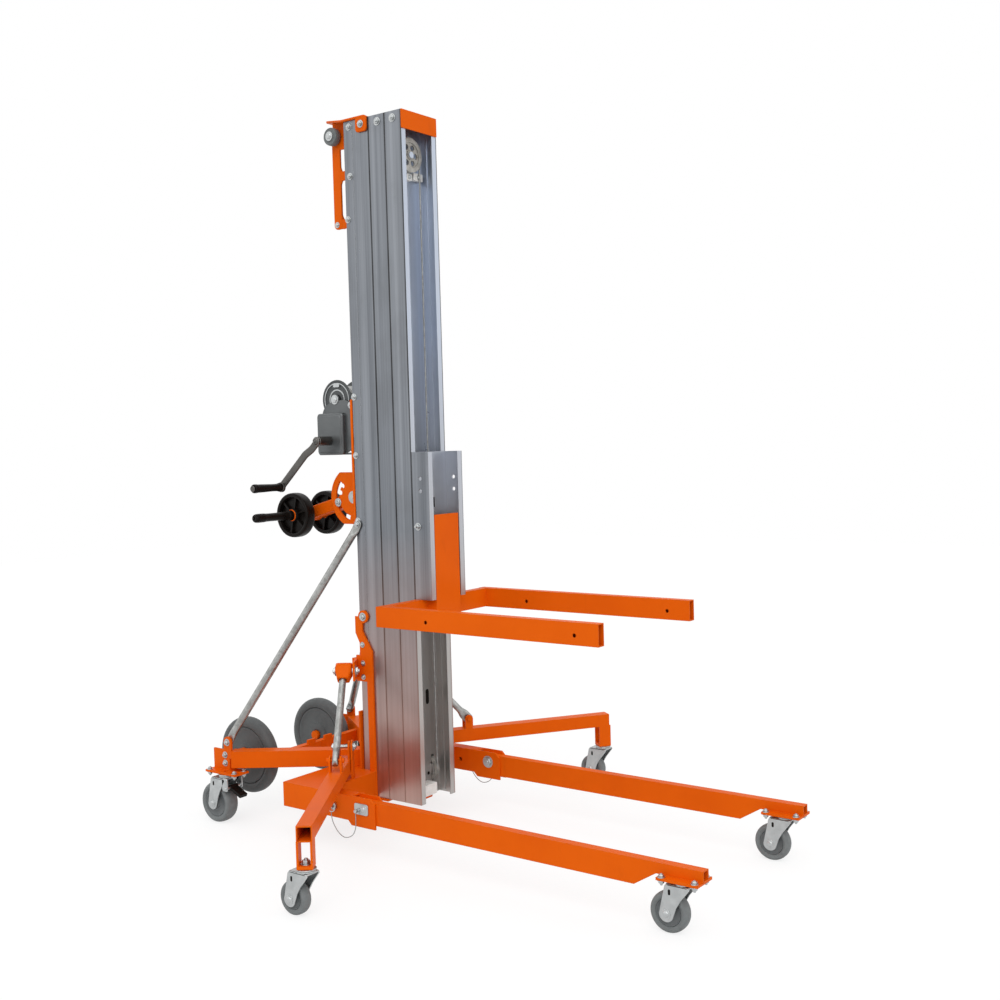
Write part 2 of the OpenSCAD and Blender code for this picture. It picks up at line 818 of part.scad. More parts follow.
module mast_base() placed(silver) {
    difference() {
        translate([0, 0, mast_foot]) linear_extrude(mast_top - mast_foot) difference() {
            section_2d(base_x, base_d, flute_shares);
            for (side = [-1, 1])
                base_corner_2d(side);
        }
        for (side = [-1, 1], at = concat(upright_bolts, [[hook_x, hook_z]]))
            rod_y(bolt_d + 2 * hole_gap, side * half_w - 2 * mast_wall, side * half_w + 2 * mast_wall,
                at[0], at[1]);
        for (side = [-1, 1])
            rod_y(bolt_d + 2 * hole_gap, side * half_w - 2 * mast_wall, side * half_w + 2 * mast_wall,
                brace_top_x + brace_tab_h / 2, brace_top_z);
        block([base_x - over, rope_half - 3 * rope_d, lead_slot_low],
            [base_x + mast_wall + over, rope_half + 2 * rope_d, lead_slot_high]);
    }
    rod_x(sheave_pin_d, base_x + mast_wall / 2, run_x0 + sheave_w / 2 + seat, 0, top_z);
    rod_x(pin_head_share * sheave_pin_d, run_x0 + sheave_w / 2 + seat,
        run_x0 + sheave_w / 2 + seat + sheave_head, 0, top_z);
    rod_x(pin_head_share * sheave_pin_d, base_x + mast_wall / 2, run_x0 - sheave_w / 2 - seat, 0, top_z);
}

module brace_half() {
    foot = [brace_ear_x, brace_foot_y, brace_ear_z];
    head = [brace_top_x + brace_tab_h / 4, brace_top_y, brace_top_z];
    line = foot - head;
    difference() {
        union() {
            translate(head + brace_end_share * line)
                rotate([0, acos(line[2] / norm(line)), atan2(line[1], line[0])])
                cylinder(d = brace_d, h = (1 - 2 * brace_end_share) * norm(line));
            block([brace_top_x - brace_tab_h / 2, upright_in, brace_top_z - brace_tab_h / 2],
                [brace_top_x + brace_tab_h, upright_in + brace_tab_t, brace_top_z + brace_tab_h / 2]);
            block([brace_ear_x - brace_ear_r, corner_y - seat - brace_tab_t, brace_ear_z - brace_ear_r],
                [brace_ear_x + brace_ear_r, corner_y - seat, brace_ear_z + brace_cut]);
        }
        block([base_x - base_d, 0, brace_top_z - 2 * brace_cut], [base_d, upright_in,
            brace_top_z + brace_cut]);
        block([brace_ear_x - 2 * brace_cut, corner_y - seat, rear_z],
            [brace_ear_x + 2 * brace_cut, corner_y + brace_d, brace_ear_z + 2 * brace_cut]);
        rod_y(bolt_d + 2 * hole_gap, upright_in - over, upright_out + brace_d,
            brace_top_x + brace_tab_h / 2,
            brace_top_z);
        rod_y(bolt_d + 2 * hole_gap, corner_y - brace_d, corner_y, brace_ear_x, brace_ear_z);
    }
}
module braces() placed(zinc) both() brace_half();

module top_bracket() placed(orange) {
    intersection() {
        slab([[top_mid_front, top_low], [base_x, top_low], [top_tip, top_low + top_rise],
            [top_tip, top_low + top_rise + top_t], [base_x, top_low + top_t],
            [top_mid_front, top_low + top_t]], -upright_out, upright_out);
        translate([0, 0, top_low]) linear_extrude(top_rise + top_t) polygon([[top_tip, -top_tip_half],
            [base_x, -upright_out], [top_mid_front, -upright_out], [top_mid_front, upright_out],
            [base_x, upright_out], [top_tip, top_tip_half]]);
    }
    both() {
        block([flange_back, upright_in, mast_top - flange_h], [top_front, upright_out,
            mast_top + seat + top_t]);
        slab([[handle_head_x, handle_top - handle_w], [base_x - seat, handle_top - handle_w],
            [base_x - seat, top_low + top_t / 2], [handle_head_x, top_low + top_t / 2 + handle_head_rise]],
            handle_in, handle_in + handle_t);
        block([handle_out_x - handle_w, handle_in, handle_top - handle_h], [handle_out_x,
            handle_in + handle_t,
            mast_top + seat]);
        for (share = handle_foot_shares)
            block([handle_out_x - handle_w, handle_in, handle_top - handle_h * (1 - share)],
                [base_x - seat, handle_in + handle_t, handle_top - handle_h * (1 - share) + handle_foot_h]);
        rod_y(roller_pin_d, 0, roller_in + roller_w + seat, roller_x, roller_z);
        rod_y(wide_head_share * roller_pin_d, roller_in + roller_w + seat,
            roller_in + roller_w + seat + roller_head, roller_x, roller_z);
    }
}
module top_rollers() placed(rubber_grey) both()
    translate([roller_x, roller_in + roller_w / 2, roller_z])
        wheel(roller_d, roller_w, roller_pin_d + 2 * run, 2 * roller_pin_d, 0.8 * roller_d);

module winch_body() placed(dark) {
    block([winch_x - winch_back_t, -winch_half, winch_low], [winch_x, winch_half, winch_high]);
    difference() {
        union() {
            both() {
                slab([[winch_x - winch_reach, winch_low], [winch_x, winch_low], [winch_x, winch_top],
                    [winch_x - winch_top_reach, winch_top], [winch_x - winch_reach, case_top]],
                    winch_half - winch_plate_t, winch_half);
                rod_y(axle_boss_d, winch_half - winch_plate_t, winch_half, drum_x, drum_z);
            }
            block([winch_x - case_back, -case_out, winch_low], [winch_x - case_front, -winch_half,
                case_top]);
            block([winch_x - winch_reach, -winch_half, winch_low],
                [winch_x, winch_half, winch_low + winch_plate_t]);
        }
        rod_y(axle_d + 2 * run, -case_out - over, winch_half + over, drum_x, drum_z);
        rod_y(crank_shaft_d + 2 * run, -case_out - over, over - winch_half + winch_plate_t, crank_x,
            crank_z);
    }
}

module winch_drum() placed(dark) {
    both() rod_y(drum_d, drum_in, drum_in + drum_flange_t, drum_x, drum_z);
    rod_y(core_d, -drum_in, drum_in, drum_x, drum_z);
    rod_y(axle_d, -winch_half - axle_nut, winch_half + axle_nut, drum_x, drum_z);
    both() rod_y(pin_head_share * axle_d, winch_half + seat, winch_half + axle_nut, drum_x, drum_z);
}

// Rope winding: a helix about the drum axis with a straight end of one rope diameter at each end
lead_x = run_x0;
lead_drop = 110;
lead_z = top_z - lead_drop;
lead_angle = atan2(lead_x - drum_x, lead_z - drum_z)
    - asin(wind_r / norm([lead_x - drum_x, lead_z - drum_z]));
wind_end = wind_pitch * drum_loops / 2;
ring_count = 24;
ring_sides = 6;
function wind_at(a) = [drum_x + wind_r * cos(a), wind_end + wind_pitch * (a + lead_angle) / 360,
    drum_z + wind_r * sin(a)];
function wind_along(a) = [-sin(a), 0, cos(a)];
wind_first = -lead_angle - 360 * drum_loops;
wind_angles = [for (i = [0:drum_loops * ring_count]) wind_first + i * 360 / ring_count];
wind_path = concat([wind_at(wind_first) - rope_d * wind_along(wind_first)],
    [for (a = wind_angles) wind_at(a)],
    [wind_at(-lead_angle) + rope_d * wind_along(-lead_angle)]);
wind_turns = concat([wind_first], wind_angles, [-lead_angle]);
wind_gap = min([for (i = [0:drum_loops * ring_count - ring_count]) for (k = [-3:3])
    if (i + ring_count + k <= drum_loops * ring_count)
    norm(wind_at(wind_angles[i]) - wind_at(wind_angles[i + ring_count + k]))]) - rope_d;
echo(drum_winding_least_gap = wind_gap);

// A tube of rings: each ring has its own outward and sideways directions
module tube(rings, sides) {
    count = len(rings);
    polyhedron([for (ring = rings) each ring],
        concat([for (i = [0:count - 2]) for (j = [0:sides - 1]) each [
            [i * sides + j, (i + 1) * sides + j, i * sides + (j + 1) % sides],
            [i * sides + (j + 1) % sides, (i + 1) * sides + j, (i + 1) * sides + (j + 1) % sides]]],
        [for (j = [1:sides - 2]) [0, j, j + 1]],
        [for (j = [1:sides - 2]) [(count - 1) * sides, (count - 1) * sides + j + 1,
            (count - 1) * sides + j]]));
}
module drum_rope() placed(wire) tube([for (i = [0:len(wind_path) - 1]) [for (j = [0:ring_sides - 1])
    wind_path[i] + rope_r * cos(j * 360 / ring_sides) * [cos(wind_turns[i]), 0, sin(wind_turns[i])]
    + rope_r * sin(j * 360 / ring_sides) * [0, 1, 0]]], ring_sides);

module crank() placed(zinc) {
    rod_y(crank_shaft_d, -crank_in, winch_plate_t - winch_half, crank_x, crank_z);
    rod_y(crank_hub_d, -crank_out, -crank_in, crank_x, crank_z);
    translate([crank_x, -crank_out, crank_z]) rotate([0, -crank_angle, 0])
        block([crank_hub_d / 4, crank_step, -crank_arm_w / 2],
            [crank_len, crank_arm_t + crank_step, crank_arm_w / 2]);
    rod_y(crank_boss_d, -crank_out, crank_arm_t + 2 * crank_step - crank_out, grip_x, grip_z);
    rod_y(grip_pin_d, -grip_in - grip_len - seat, crank_step - crank_out, grip_x, grip_z);
    rod_y(pin_head_share * grip_pin_d, -grip_in - grip_len - seat - grip_head,
        -grip_in - grip_len - seat, grip_x, grip_z);
}
module crank_grip() placed(black) difference() {
    rod_y(grip_d, -grip_in - grip_len, -grip_in, grip_x, grip_z);
    rod_y(grip_pin_d + 2 * run, -grip_in - grip_len - over, over - grip_in, grip_x, grip_z);
}

// An arc slot about the loading arm pivot, from angle a0 to a1
module arc_slot(r, w, a0, a1) translate([quad_x, 0, quad_z]) rotate([90, 0, 0])
    rotate([0, 0, a0]) rotate_extrude(angle = a1 - a0) translate([r - w / 2, -quad_in - 2 * quad_t])
        square([w, 2 * quad_in + 4 * quad_t]);

module load_quadrant() placed(orange) {
    block([winch_x, -strip_half, strip_low], [base_x - seat, strip_half, strip_high]);
    both() difference() {
        union() {
            intersection() {
                rod_y(2 * quad_r, quad_in, quad_in + quad_t, quad_x, quad_z);
                block([quad_x - quad_r, quad_in, quad_low], [winch_x, quad_in + quad_t, quad_high]);
            }
            block([quad_x, quad_in, quad_low], [winch_x, quad_in + quad_t, quad_high]);
        }
        arc_slot(quad_slot_r, quad_slot_w, load_angle - slot_up, load_angle + load_down + slot_room);
        for (a = quad_notch_angles)
            rod_y(quad_notch_d, quad_in - over, quad_in + quad_t + over,
                quad_x + (quad_slot_r - quad_notch_in) * cos(a),
                quad_z + (quad_slot_r - quad_notch_in) * sin(a));
        rod_y(load_pivot_d + 2 * hole_gap, quad_in - over, quad_in + quad_t + over, quad_x, quad_z);
    }
}

module load_arm() placed(orange) {
    difference() {
        union() {
            rod_y(load_hub_d, -load_arm_half, load_arm_half, quad_x, quad_z);
            translate([quad_x, 0, quad_z]) rotate([0, -load_angle, 0]) difference() {
                block([0, -load_arm_half, -load_arm_h / 2], [load_len, load_arm_half, load_arm_h / 2]);
                block([load_hub_d / 2, load_arm_wall - load_arm_half, load_arm_wall - load_arm_h / 2],
                    [load_len + over, load_arm_half - load_arm_wall, load_arm_h / 2 - load_arm_wall]);
            }
        }
        rod_y(load_pivot_d + 2 * run, -load_arm_half - over, load_arm_half + over, quad_x, quad_z);
    }
    rod_y(load_pin_d, -quad_in - 2 * quad_t, quad_in + 2 * quad_t, quad_x + quad_slot_r * cos(load_angle),
        quad_z + quad_slot_r * sin(load_angle));
    rod_y(load_axle_d, -load_axle_half, load_axle_half, load_axle_x, load_axle_z);
    both() {
        rod_y(load_collar_d, load_wheel_in - load_collar, load_wheel_in - seat, load_axle_x, load_axle_z);
        rod_y(load_collar_d, load_wheel_in + load_wheel_w + seat, load_axle_half, load_axle_x, load_axle_z);
    }
}
module load_wheel(side) placed(black) on_side(side)
    translate([load_axle_x, load_wheel_in + load_wheel_w / 2, load_axle_z])
        wheel(load_wheel_d, load_wheel_w, load_axle_d + 2 * run, 1.8 * load_axle_d, 0.82 * load_wheel_d);
module load_wheel_left() load_wheel(1);
module load_wheel_right() load_wheel(-1);

module bolts() placed(zinc) {
    both() {
        rod_y(pivot_d, chan_in - chan_t - head_h, chan_out + chan_t, pivot_x, pivot_z);
        rod_y(2 * pivot_d, chan_out + chan_t, chan_out + chan_t + head_h, pivot_x, pivot_z);
        rod_y(2 * pivot_d, chan_in - chan_t - head_h, chan_in - chan_t, pivot_x, pivot_z);
        rod_y(lug_d, chan_out + chan_t, chan_out + chan_t + lanyard_y + lug_plate_t, lug_x, lug_z);
        block([lug_x - 2 * lug_half_w, chan_out + chan_t, lug_z - lug_half_h],
            [lug_x + lug_half_w, chan_out + chan_t + lug_plate_t, lug_z + lug_half_h]);
        for (at = upright_bolts)
            bolt_y(bolt_d, half_w - mast_wall - head_h, upright_out, at[0], at[1], head_d);
        bolt_y(bolt_d, half_w - mast_wall - head_h, upright_out, hook_x, hook_z, head_d);
        bolt_y(bolt_d, half_w - mast_wall - head_h, upright_in + brace_tab_t, brace_top_x + brace_tab_h / 2,
            brace_top_z, head_d);
        bolt_y(bolt_d, corner_y - seat - brace_tab_t, corner_y + corner_t, brace_ear_x, brace_ear_z,
            head_d);
        rod_y(head_d, corner_y - seat - brace_tab_t - head_h, corner_y - seat - brace_tab_t, brace_ear_x,
            brace_ear_z);
        stab_frame(1) {
            bolt_y(hinge_d, -cheek_in - hinge_cheek_t, cheek_in + hinge_cheek_t, hinge_s, hinge_z,
                2 * hinge_d);
            rod_y(2 * hinge_d, -cheek_in - hinge_cheek_t - head_h, -cheek_in - hinge_cheek_t, hinge_s,
                hinge_z);
            rod_y(trunnion_d, -swivel_in - bracket_gap - bracket_t, trunnion_deep - swivel_in, 0, swivel_z);
            rod_y(trunnion_head_share * trunnion_d, -swivel_in - bracket_gap - bracket_t - head_h,
                -swivel_in - bracket_gap - bracket_t, 0, swivel_z);
            rod_y(trunnion_head_share * trunnion_d, -swivel_in - bracket_gap, -swivel_in - seat, 0,
                swivel_z);
        }
    }
    bolt_y(load_pivot_d, -quad_in - quad_t, quad_in + quad_t, quad_x, quad_z,
        trunnion_head_share * load_pivot_d);
    rod_y(trunnion_head_share * load_pivot_d, -quad_in - quad_t - head_h, -quad_in - quad_t, quad_x, quad_z);
}

// Hoist rope: drum, base sheave, middle foot sheave, middle top sheave, front foot sheave, front top sheave,
// carriage
lead_start_ropes = 4.4;
lead_start = lead_start_ropes * rope_d;
lead_from = wind_at(-lead_angle) + lead_start * wind_along(-lead_angle);
lead_to = [lead_x, rope_half, lead_z];
lead_line = lead_to - lead_from;
lead_bend_ropes = 8;
lead_bend_r = lead_bend_ropes * rope_d;
lead_tilt = acos(lead_line[2] / norm(lead_line));
lead_turn = atan2(lead_line[1], lead_line[0]);
lead_tangent = lead_bend_r * tan(lead_tilt / 2);
lead_slot_mid = lead_from[2] + lead_line[2] * (base_x - lead_from[0]) / lead_line[0];
slot_below_ropes = 12;
slot_above_ropes = 15;
lead_slot_low = lead_slot_mid - slot_below_ropes * rope_d;
lead_slot_high = lead_slot_mid + slot_above_ropes * rope_d;
// Points and directions of the lead: slanted run, bend to upright, then over the base sheave
bend_steps = 4;
over_steps = 12;
lead_flat = [cos(lead_turn), sin(lead_turn), 0];
function lead_dir(a) = sin(a) * lead_flat + [0, 0, cos(a)];
lead_bend_end = lead_to + [0, 0, lead_tangent];
function lead_bend(a) = lead_bend_end - lead_bend_r * lead_flat
    + lead_bend_r * (cos(a) * lead_flat - [0, 0, sin(a)]);
function over_at(a) = [run_x0, pitch_r * cos(a), top_z + pitch_r * sin(a)];
lead_path = concat([[lead_from, lead_dir(lead_tilt)]],
    [for (i = [bend_steps:-1:0]) let (a = lead_tilt * i / bend_steps) [lead_bend(a), lead_dir(a)]],
    [for (i = [0:over_steps]) let (a = 180 * i / over_steps) [over_at(a), [0, -sin(a), cos(a)]]]);
function side_of(t) = cross(t, [1, 0, 0]) / norm(cross(t, [1, 0, 0]));
lead_sides = 12;
module rope_base() placed(wire) tube([for (step = lead_path) let (e = side_of(step[1]),
    f = cross(step[1], e))
    [for (j = [0:lead_sides - 1]) step[0] + rope_r * (cos(j * 360 / lead_sides) * e
        + sin(j * 360 / lead_sides) * f)]], lead_sides);
module rope_base_mid() placed(wire) rod_z(rope_d, foot_z, top_z, run_x0, -rope_half);
module rope_mid() placed(wire) {
    rope_under((run_x0 + run_x1) / 2, -1);
    rod_z(rope_d, foot_z, top_z, run_x1, -rope_half);
    rope_over(run_x1, top_z);
}
module rope_mid_front() placed(wire) rod_z(rope_d, foot_z, top_z, run_x1, rope_half);
module rope_front() placed(wire) {
    rope_under((run_x1 + run_x2) / 2, 1);
    rod_z(rope_d, foot_z, front_top_z, run_x2, rope_half);
    rope_over(run_x2, front_top_z);
}
module rope_carriage() placed(wire) rod_z(rope_d, anchor_z, front_top_z, run_x2, -rope_half);

module base_sheave() placed(zinc) top_sheave(run_x0, top_z);
module mid_top_sheave() placed(zinc) top_sheave(run_x1, top_z);
module front_top_sheave() placed(zinc) top_sheave(run_x2, front_top_z);
module mid_foot_sheave() placed(zinc) foot_sheave((run_x0 + run_x1) / 2, -1);
module front_foot_sheave() placed(zinc) foot_sheave((run_x1 + run_x2) / 2, 1);

module moving_mast(x, run_x, side, z) {
    difference() {
        translate([0, 0, mast_foot]) linear_extrude(mast_top - mast_foot) {
            section_2d(x, mast_d, []);
            tongue_2d(x);
        }
        foot_window(x, side);
    }
    foot_cheek(x, run_x - foot_r, side);
    rod_x(sheave_pin_d, x + mast_wall / 2, run_x + sheave_w / 2 + seat, 0, z);
    rod_x(pin_head_share * sheave_pin_d, run_x + sheave_w / 2 + seat,
        run_x + sheave_w / 2 + seat + sheave_head, 0, z);
    rod_x(pin_head_share * sheave_pin_d, x + mast_wall / 2, run_x - sheave_w / 2 - seat, 0, z);
}
module mast_mid() placed(silver) moving_mast(mid_x, run_x1, -1, top_z);
module mast_front() placed(silver) moving_mast(front_x, run_x2, 1, front_top_z);

module front_cap() placed(orange) {
    front = front_x + mast_d;
    block([front_x, -half_w - cap_side, mast_top], [front + cap_t, half_w + cap_side, mast_top + cap_t]);
    block([front, -half_w - cap_side, mast_top - cap_h], [front + cap_t, half_w + cap_side,
        mast_top + cap_t]);
}

module carriage() placed(silver) {
    difference() {
        translate([0, 0, carriage_low]) linear_extrude(carriage_h + cross_step) {
            section_2d(carriage_x, mast_d, []);
            tongue_2d(carriage_x);
        }
        block([carriage_x - over, carriage_slot_y - carriage_slot_w / 2, carriage_slot_z],
            [carriage_x + mast_wall + over, carriage_slot_y + carriage_slot_w / 2,
                carriage_slot_z + carriage_slot_h]);
        for (share = side_hole_z_shares)
            rod_y(side_hole_d, -half_w - over, half_w + over, carriage_x + mast_d / 2,
                fork_top + share * carriage_h);
    }
    block([run_x2 - anchor_side, -rope_half - anchor_side, anchor_z - anchor_h],
        [carriage_x + mast_wall, anchor_side - rope_half, anchor_z]);
}

module fork_frame() placed(orange) {
    difference() {
        union() {
            both() block([fork_x, fork_half - fork_w, fork_z], [fork_front, fork_half, fork_top]);
            block([fork_x, -fork_half, fork_z + cross_step], [fork_x + fork_w, fork_half, carriage_low]);
        }
        both() {
            block([fork_x + fork_wall, fork_half - fork_w + fork_wall, fork_z + fork_wall],
                [fork_front + over, fork_half - fork_wall, fork_top - fork_wall]);
            for (x = [fork_hole_back, fork_hole_front])
                rod_y(fork_hole_d, fork_half - fork_w - over, fork_half + over, x, fork_hole_z);
        }
        block([fork_x + fork_wall, fork_wall - fork_half, fork_z + fork_wall],
            [fork_x + fork_w - fork_wall, fork_half - fork_wall, fork_top - fork_wall]);
    }
    block([plate_x, plate_margin - lip_in, fork_z], [plate_x + plate_t, lip_in - plate_margin,
        fork_top + plate_rise]);
    block([fork_x + fork_w - fork_wall, plate_margin - lip_in, fork_z + fork_wall],
        [plate_x, lip_in - plate_margin, fork_top - fork_wall]);
    block([carriage_x + mast_wall, -hub_block_half, fork_top + hub_block_low],
        [plate_x, hub_block_half, fork_top + hub_block_high]);
}

module leg(side) placed(orange) on_side(side) {
    outline = [[leg_back, leg_z], [leg_cut_back, leg_z], [leg_cut_front, leg_tip_z], [leg_front, leg_tip_z],
        [leg_front, leg_z + leg_h], [leg_back, leg_z + leg_h]];
    hollow = [[leg_back - over, leg_z + leg_wall], [leg_cut_back - leg_wall / 2, leg_z + leg_wall],
        [leg_cut_front - leg_wall / 2, leg_tip_z + leg_wall], [leg_front + over, leg_tip_z + leg_wall],
        [leg_front + over, leg_z + leg_h - leg_wall], [leg_back - over, leg_z + leg_h - leg_wall]];
    inner = leg_half - leg_w / 2;
    outer = leg_half + leg_w / 2;
    difference() {
        slab(outline, inner, outer);
        slab(hollow, inner + leg_wall, outer - leg_wall);
        rod_y(pivot_d + 2 * run, inner - over, outer + over, pivot_x, pivot_z);
        rod_y(lock_d + 2 * hole_gap, inner - over, outer + over, lock_x, lock_z);
    }
    difference() {
        block([caster_plate_back, leg_half - caster_plate_half, leg_tip_z - caster_plate_t],
            [caster_plate_front, leg_half + caster_plate_half, leg_tip_z]);
        rod_z(king_d + 2 * run, leg_tip_z - caster_plate_t - over, leg_tip_z + over, front_swivel_x,
            leg_half);
    }
}
module leg_left() leg(1);
module leg_right() leg(-1);

module leg_pin(side) placed(zinc) on_side(side) {
    out = chan_out + chan_t;
    rod_y(lock_d, chan_out - seat / 2, out + pin_out, lock_x, lock_z);
    rod_y(lock_head_d, out + seat, out + seat + lock_head_h, lock_x, lock_z);
    translate([lock_x, out + pin_out - ring_wire, lock_z]) rotate([90, 0, 0])
        rotate_extrude() translate([(ring_d - ring_wire) / 2, 0]) circle(d = ring_wire);
    rod_z(ring_wire, lock_z, lock_z + ring_d / 2 - ring_wire / 2, lock_x, out + pin_out - ring_wire);
}
module leg_pin_left() leg_pin(1);
module leg_pin_right() leg_pin(-1);

function lanyard_dir(i) = let (n = len(lanyard_points), a = lanyard_points[max(i - 1, 0)],
    b = lanyard_points[min(i + 1, n - 1)]) (b - a) / norm(b - a);
module lanyard() {
    sides = 8;
    y = chan_out + chan_t + lanyard_y;
    tube([for (i = [0:len(lanyard_points) - 1]) let (p = lanyard_points[i], d = lanyard_dir(i))
        [for (j = [0:sides - 1]) [p[0] + d[1] * lanyard_d / 2 * cos(j * 360 / sides),
            y + lanyard_d / 2 * sin(j * 360 / sides),
                p[1] - d[0] * lanyard_d / 2 * cos(j * 360 / sides)]]], sides);
}
module lanyards() placed(wire) both() lanyard();

module front_caster(side) placed(zinc) on_side(side) translate([front_swivel_x, leg_half, 0])
    caster(leg_tip_z - caster_plate_t, caster_plate_t - seat, front_trail, front_wheel_d, front_wheel_w);
module front_caster_left() front_caster(1);
module front_caster_right() front_caster(-1);
module front_wheel(side) placed(rubber_grey) on_side(side)
    translate([front_swivel_x - front_trail, leg_half, front_wheel_d / 2])
        wheel(front_wheel_d, front_wheel_w, caster_axle_d + 2 * run, 2.4 * caster_axle_d,
            0.62 * front_wheel_d);
module front_wheel_left() front_wheel(1);
module front_wheel_right() front_wheel(-1);

module rear_caster(side) placed(zinc) on_side(side) translate([rear_swivel_x, rear_swivel_y, 0]) {
    caster(rear_plate_z, caster_plate_t - seat, rear_trail, rear_wheel_d, rear_wheel_w);
    rod_y(pedal_pin_d, -rear_wheel_w / 2 - fork_room, rear_wheel_w / 2 + fork_room,
        pedal_x - pedal_pin_d / 2,
        rear_plate_z - pedal_z + pedal_pin_d);
    both() block([race_d / 4, rear_wheel_w / 2 + fork_room, rear_plate_z - pedal_z],
        [pedal_x + pedal_pin_d / 2, rear_wheel_w / 2 + fork_room + fork_t, rear_plate_z - race_h]);
}
module rear_caster_left() rear_caster(1);
module rear_caster_right() rear_caster(-1);
module rear_wheel(side) placed(rubber_grey) on_side(side)
    translate([rear_swivel_x - rear_trail, rear_swivel_y, rear_wheel_d / 2])
        wheel(rear_wheel_d, rear_wheel_w, caster_axle_d + 2 * run, 2.4 * caster_axle_d,
            0.62 * rear_wheel_d);
module rear_wheel_left() rear_wheel(1);
module rear_wheel_right() rear_wheel(-1);
module brake_pedal(side) placed(black) on_side(side) translate([rear_swivel_x, rear_swivel_y, 0]) {
    z = rear_plate_z - pedal_z + pedal_pin_d;
    x = pedal_x - pedal_pin_d / 2;
    difference() {
        union() {
            rod_y(2 * pedal_pin_d, seat - pedal_w / 2, pedal_w / 2 - seat, x, z);
            translate([x, 0, z]) rotate([0, pedal_drop, 0])
                block([0.75 * pedal_pin_d, -pedal_w / 2, -pedal_t / 2], [pedal_len, pedal_w / 2,
                    pedal_t / 2]);
        }
        rod_y(pedal_pin_d + 2 * run, -pedal_w, pedal_w, x, z);
    }
}
module brake_pedal_left() brake_pedal(1);
module brake_pedal_right() brake_pedal(-1);

module transport_wheel(side) placed(rubber_grey) on_side(side)
    translate([stub_x, transport_y + transport_w / 2, stub_z])
        wheel(transport_d, transport_w, stub_d + 2 * run, 0.3 * transport_d, 0.72 * transport_d);
module transport_wheel_left() transport_wheel(1);
module transport_wheel_right() transport_wheel(-1);

module stabilizer(side) placed(orange) stab_frame(side) {
    difference() {
        union() {
            block([stab_back, -stab_side / 2, stab_z], [stab_len, stab_side / 2, stab_z + stab_side]);
            for (flip = [0, 1]) mirror([0, flip, 0]) {
                block([hinge_s - hinge_r, lug_in, stab_z + stab_side - stab_wall], [hinge_s + hinge_r,
                    lug_in + lug_t,
                    hinge_z]);
                rod_y(2 * hinge_r, lug_in, lug_in + lug_t, hinge_s, hinge_z);
                block([clevis_s - clevis_r, clevis_in, stab_z + stab_side - stab_wall],
                    [clevis_s + clevis_r,
                    clevis_in + clevis_t, clevis_z]);
                rod_y(2 * clevis_r, clevis_in, clevis_in + clevis_t, clevis_s, clevis_z);
            }
        }
        block([stab_back - over, stab_wall - stab_side / 2, stab_z + stab_wall],
            [stab_len + over, stab_side / 2 - stab_wall, stab_z + stab_side - stab_wall]);
        rod_y(hinge_d + 2 * run, -stab_side, stab_side, hinge_s, hinge_z);
    }
    rod_y(clevis_d, -clevis_in - clevis_t - head_h, clevis_in + clevis_t + head_h, clevis_s, clevis_z);
    for (flip = [0, 1]) mirror([0, flip, 0]) {
        block([drop_back, stab_side / 2 - drop_t, drop_z], [drop_front, stab_side / 2, stab_z + stab_wall]);
        rod_y(1.7 * clevis_d, clevis_in + clevis_t, clevis_in + clevis_t + head_h, clevis_s, clevis_z);
    }
    difference() {
        block([drop_back, -stab_side / 2, drop_z], [drop_front, stab_side / 2, drop_z + drop_plate_t]);
        rod_z(king_d + 2 * run, drop_z - over, drop_z + drop_plate_t + over, stab_stem_s, 0);
    }
}
module stabilizer_left() stabilizer(1);
module stabilizer_right() stabilizer(-1);

module stab_swivel(side) placed(orange) strut_frame(side) difference() {
    union() {
        block([-swivel_half_h, -swivel_in, -swivel_half_len], [swivel_half_h, swivel_out, swivel_half_len]);
        rod_y(1.5 * trunnion_d, swivel_out, swivel_out + 2 * head_h, 0, 0);
    }
    rod_z(strut_d + 2 * run, -swivel_half_len - over, swivel_half_len + over, 0, 0);
    rod_y(trunnion_d + 2 * run, -swivel_in - over, trunnion_deep + seat - swivel_in, 0, 0);
}
module stab_swivel_left() stab_swivel(1);
module stab_swivel_right() stab_swivel(-1);

module stab_strut(side) placed(zinc) strut_frame(side) {
    difference() {
        union() {
            rod_z(strut_d, -strut_len + strut_eye_r / 2, strut_top, 0, 0);
            rod_y(2 * strut_eye_r, -strut_eye_t / 2, strut_eye_t / 2, 0, -strut_len);
        }
        rod_y(2 * strut_eye_hole, -strut_eye_t, strut_eye_t, 0, -strut_len);
        both() block([-strut_d, strut_eye_t / 2, -strut_len - strut_eye_r],
            [strut_d, strut_d, -strut_len + 2 * strut_eye_r]);
    }
    rod_z(strut_cap_d, strut_top, strut_top + strut_cap_h, 0, 0);
}
module stab_strut_left() stab_strut(1);
module stab_strut_right() stab_strut(-1);

module stab_stem(side) on_side(side) translate([stab_x + stab_stem_s * cos(stab_yaw),
    stab_y + stab_stem_s * sin(stab_yaw), 0]) children();
module stab_caster(side) placed(zinc) stab_stem(side)
    caster(drop_z, drop_plate_t + head_h, stab_trail, stab_wheel_d, stab_wheel_w);
module stab_caster_left() stab_caster(1);
module stab_caster_right() stab_caster(-1);
module stab_wheel(side) placed(rubber_grey) stab_stem(side) translate([-stab_trail, 0, stab_wheel_d / 2])
    wheel(stab_wheel_d, stab_wheel_w, caster_axle_d + 2 * run, 2.2 * caster_axle_d, 0.62 * stab_wheel_d);
module stab_wheel_left() stab_wheel(1);
module stab_wheel_right() stab_wheel(-1);

